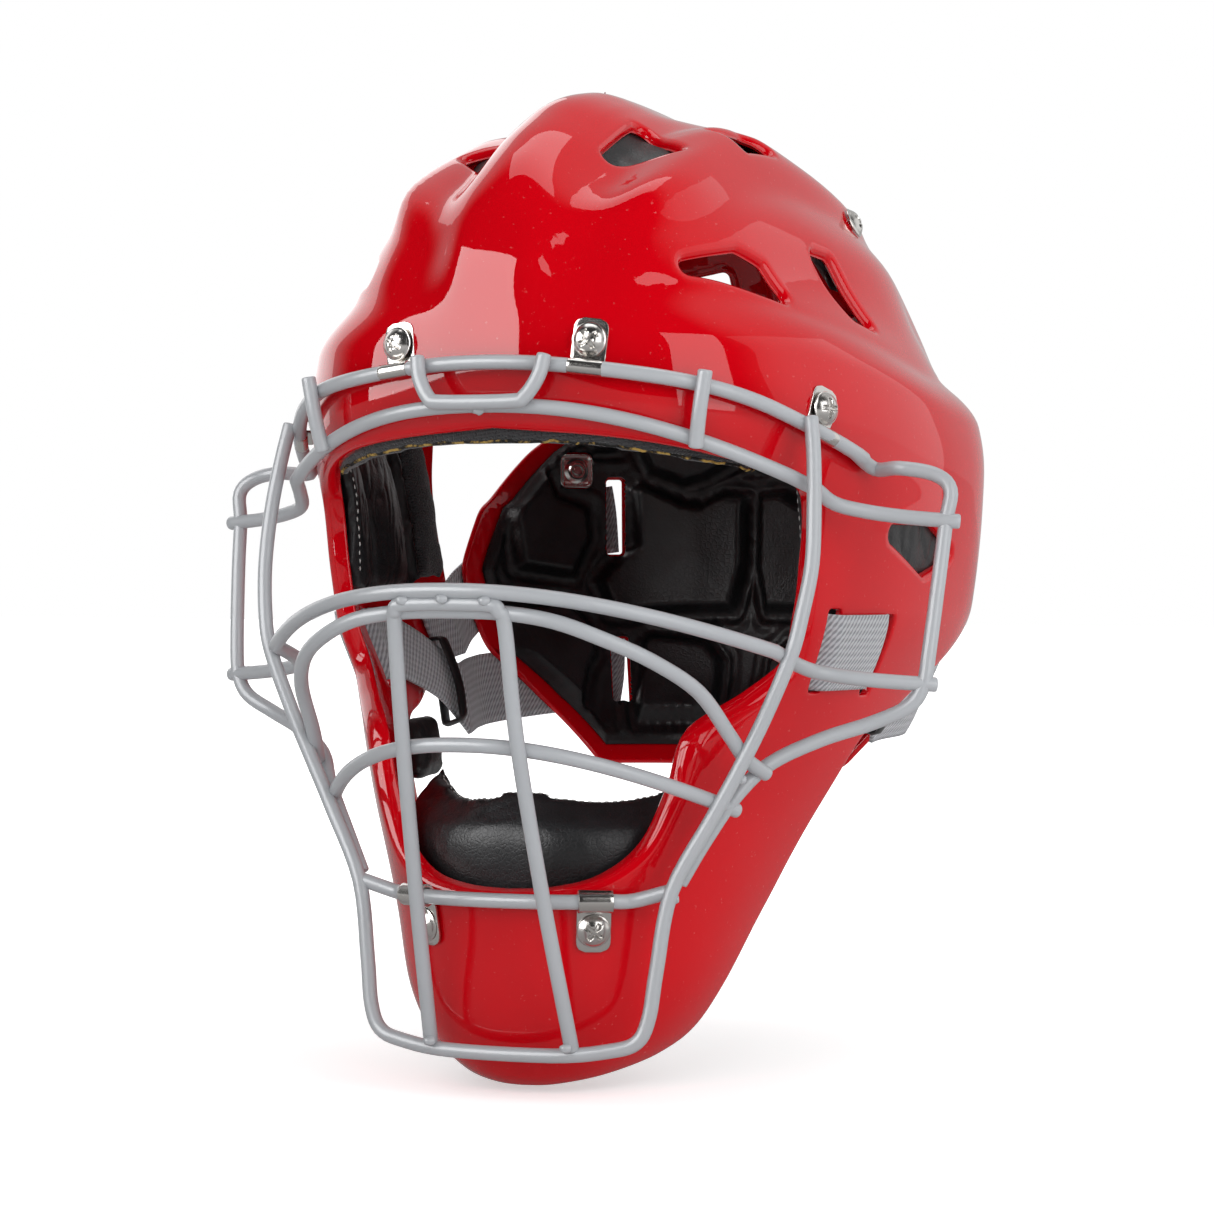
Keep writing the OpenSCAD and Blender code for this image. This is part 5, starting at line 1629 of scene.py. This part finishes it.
def pale_floor():
    """White card that the camera sees at full white away from the mask, and that still takes shadow."""
    f = Finish("pale_floor")
    camera, glossy, clear = seen_by(f)
    seen = camera.high(glossy * 0.3).high(clear)
    at = f.place()
    far = f.node("ShaderNodeVectorMath", {"operation": "LENGTH"}, {0: at}, "Value").between(0.25, 0.95, 0.42, 1.0)
    card = f.mix(f.noise(at, 3), (0.88, 0.88, 0.88), (0.91, 0.91, 0.91))
    return f.set(base_color=f.mix(glossy, card, (0.25, 0.25, 0.25)), roughness=0.8, specular_ior_level=0.0,
                 emission_color=f.mix(seen * far, (0, 0, 0), (1, 1, 1)), emission_strength=1.0)


def studio_world(front, fill):
    """White cloth behind the mask and a dark room on the camera's side, as shiny surfaces see them."""
    world = bpy.data.worlds.new("studio")
    world.use_nodes = True
    bpy.context.scene.world = world
    f = Finish.__new__(Finish)
    f.nodes, f.links = world.node_tree.nodes, world.node_tree.links
    back = f.nodes["Background"]
    camera, glossy, clear = seen_by(f)
    ways = f.node("ShaderNodeTexCoord", out="Generated")
    split = f.nodes.new("ShaderNodeSeparateXYZ")
    f.links.new(ways.socket, split.inputs[0])
    behind = Value(f, split.outputs[1]).between(-0.12, 0.34, front, 0.55)
    level = camera.high(clear)
    level = level + (1 - level) * (glossy * behind + (1 - glossy) * fill)
    f.links.new(level.socket, back.inputs["Strength"])
    back.inputs["Color"].default_value = (1, 1, 1, 1)


# The camera's turn and rise in degrees, distance and aim in metres, and focal length in mm
CAMERA_TURN, CAMERA_RISE, CAMERA_FAR = 22, 1, 1.168
CAMERA_AIM = (0.02821, -0.100, -0.020)
LENS = 107.3


def build_stage():
    """The floor, the studio round it, the lamps and the camera. A lamp of use "gloss" only shows as a
    reflection and one of use "light" only lights."""
    scene = bpy.context.scene
    scene.view_settings.view_transform = "Standard"
    low = CAD_BOX[0][2]
    bm = bmesh.new()
    bmesh.ops.create_grid(bm, x_segments=8, y_segments=8, size=6.0)
    bmesh.ops.translate(bm, vec=(0, 0.4, low - 0.001), verts=bm.verts)
    paint(new_object("floor", bm), pale_floor())
    studio_world(0.012, 0.56)
    for name, at, size, level, use in (
            ("softbox_right", (1.26, -0.72, 0.45), (0.95, 1.2), 2.3, "all"),
            ("softbox_rear_right", (1.25, 0.75, 0.45), (1.7, 1.3), 0.42, "all"),
            ("softbox_top", (-0.05, 0.15, 1.45), (1.1, 0.8), 1.7, "all"),
            ("softbox_left", (-0.85, -1.2, 0.5), (1.5, 1.1), 6.0, "gloss"),
            ("softbox_rear_left", (-1.2, 1.0, 0.5), (1.3, 1.2), 0.9, "all"),
            ("fill_front", (0.2, -1.9, 0.75), (1.5, 1.1), 2.1, "light")):
        holder = softbox(name, at, size, level * math.pi * size[0] * size[1])
        holder.visible_glossy, holder.visible_diffuse = use != "light", use != "gloss"
    cam = bpy.data.objects.new("camera", bpy.data.cameras.new("camera"))
    cam.data.sensor_width, cam.data.lens = 36, LENS
    az, el = math.radians(CAMERA_TURN), math.radians(CAMERA_RISE)
    back_dir = Vector((math.sin(az) * math.cos(el), -math.cos(az) * math.cos(el), math.sin(el)))
    cam.location = Vector(CAMERA_AIM) + back_dir * CAMERA_FAR
    cam.rotation_euler = back_dir.to_track_quat("Z", "Y").to_euler()
    cam.data.clip_start = 0.01
    scene.collection.objects.link(cam)
    scene.camera = cam


# ---------------------------------------------------------------- operators and panel

class HEADGEAR_OT_shell(bpy.types.Operator):
    """Mould the shell with its vents, ear holes and strap slots"""
    bl_idname = "headgear.shell"
    bl_label = "Shell"

    def execute(self, context):
        stand_for(build_shell(), finish_of(red_plastic), "helmet", "shell", "shell")
        return {"FINISHED"}


class HEADGEAR_OT_cage(bpy.types.Operator):
    """Bend and weld the wires of the cage"""
    bl_idname = "headgear.cage"
    bl_label = "Cage"

    def execute(self, context):
        build_cage()
        return {"FINISHED"}


class HEADGEAR_OT_metal(bpy.types.Operator):
    """Make the clips, screws and nuts, and plate the hinge brackets"""
    bl_idname = "headgear.metal"
    bl_label = "Clips, screws and nuts"

    def execute(self, context):
        build_metal()
        return {"FINISHED"}


class HEADGEAR_OT_back(bpy.types.Operator):
    """Mould the back plate and sew its quilted liner"""
    bl_idname = "headgear.back"
    bl_label = "Back plate and liner"

    def execute(self, context):
        stand_for(build_plate(), finish_of(red_plastic), "back_plate", "shell", "back_plate")
        liner = stand_for(build_liner(), finish_of(black_leather), "back_plate", "leather", "back_liner")
        return {"FINISHED"}


class HEADGEAR_OT_straps(bpy.types.Operator):
    """Weave the elastic straps and mould their ring buckles"""
    bl_idname = "headgear.straps"
    bl_label = "Straps and buckles"

    def execute(self, context):
        build_straps()
        return {"FINISHED"}


class HEADGEAR_OT_pads(bpy.types.Operator):
    """Sew and fill the temple, jaw, crown and brow pads"""
    bl_idname = "headgear.pads"
    bl_label = "Side, crown and brow pads"

    def execute(self, context):
        build_pads(finish_of(black_leather), finish_of(charcoal_knit), finish_of(stitching_thread))
        return {"FINISHED"}


class HEADGEAR_OT_chin(bpy.types.Operator):
    """Sew and fill the chin cup"""
    bl_idname = "headgear.chin"
    bl_label = "Chin cup"

    def execute(self, context):
        build_chin(finish_of(black_leather), finish_of(stitching_thread))
        return {"FINISHED"}


class HEADGEAR_OT_stage(bpy.types.Operator):
    """Lay the pale floor, hang the lamps and place the camera"""
    bl_idname = "headgear.stage"
    bl_label = "Photo stage"

    def execute(self, context):
        build_stage()
        return {"FINISHED"}


OPERATORS = (HEADGEAR_OT_shell, HEADGEAR_OT_cage, HEADGEAR_OT_metal, HEADGEAR_OT_back, HEADGEAR_OT_straps,
             HEADGEAR_OT_pads, HEADGEAR_OT_chin, HEADGEAR_OT_stage)


class HEADGEAR_PT_pieces(bpy.types.Panel):
    bl_idname = "HEADGEAR_PT_pieces"
    bl_label = "Catcher's mask"
    bl_space_type = "VIEW_3D"
    bl_region_type = "UI"
    bl_category = "Mask"

    def draw(self, context):
        for group in (context.scene.headgear_sizes, context.scene.headgear_colours):
            box = self.layout.box()
            for name in group.__annotations__:
                box.prop(group, name)
        for kind in OPERATORS:
            self.layout.operator(kind.bl_idname)


CLASSES = (HeadgearSizes, HeadgearColours, *OPERATORS, HEADGEAR_PT_pieces)


def register():
    for kind in CLASSES:
        bpy.utils.register_class(kind)
    bpy.types.Scene.headgear_sizes = PointerProperty(type=HeadgearSizes)
    bpy.types.Scene.headgear_colours = PointerProperty(type=HeadgearColours)


def unregister():
    del bpy.types.Scene.headgear_sizes
    del bpy.types.Scene.headgear_colours
    for kind in reversed(CLASSES):
        bpy.utils.unregister_class(kind)


def main():
    register()
    for kind in OPERATORS:
        getattr(bpy.ops.headgear, kind.bl_idname.split(".")[1])()


if __name__ == "__main__":
    main()
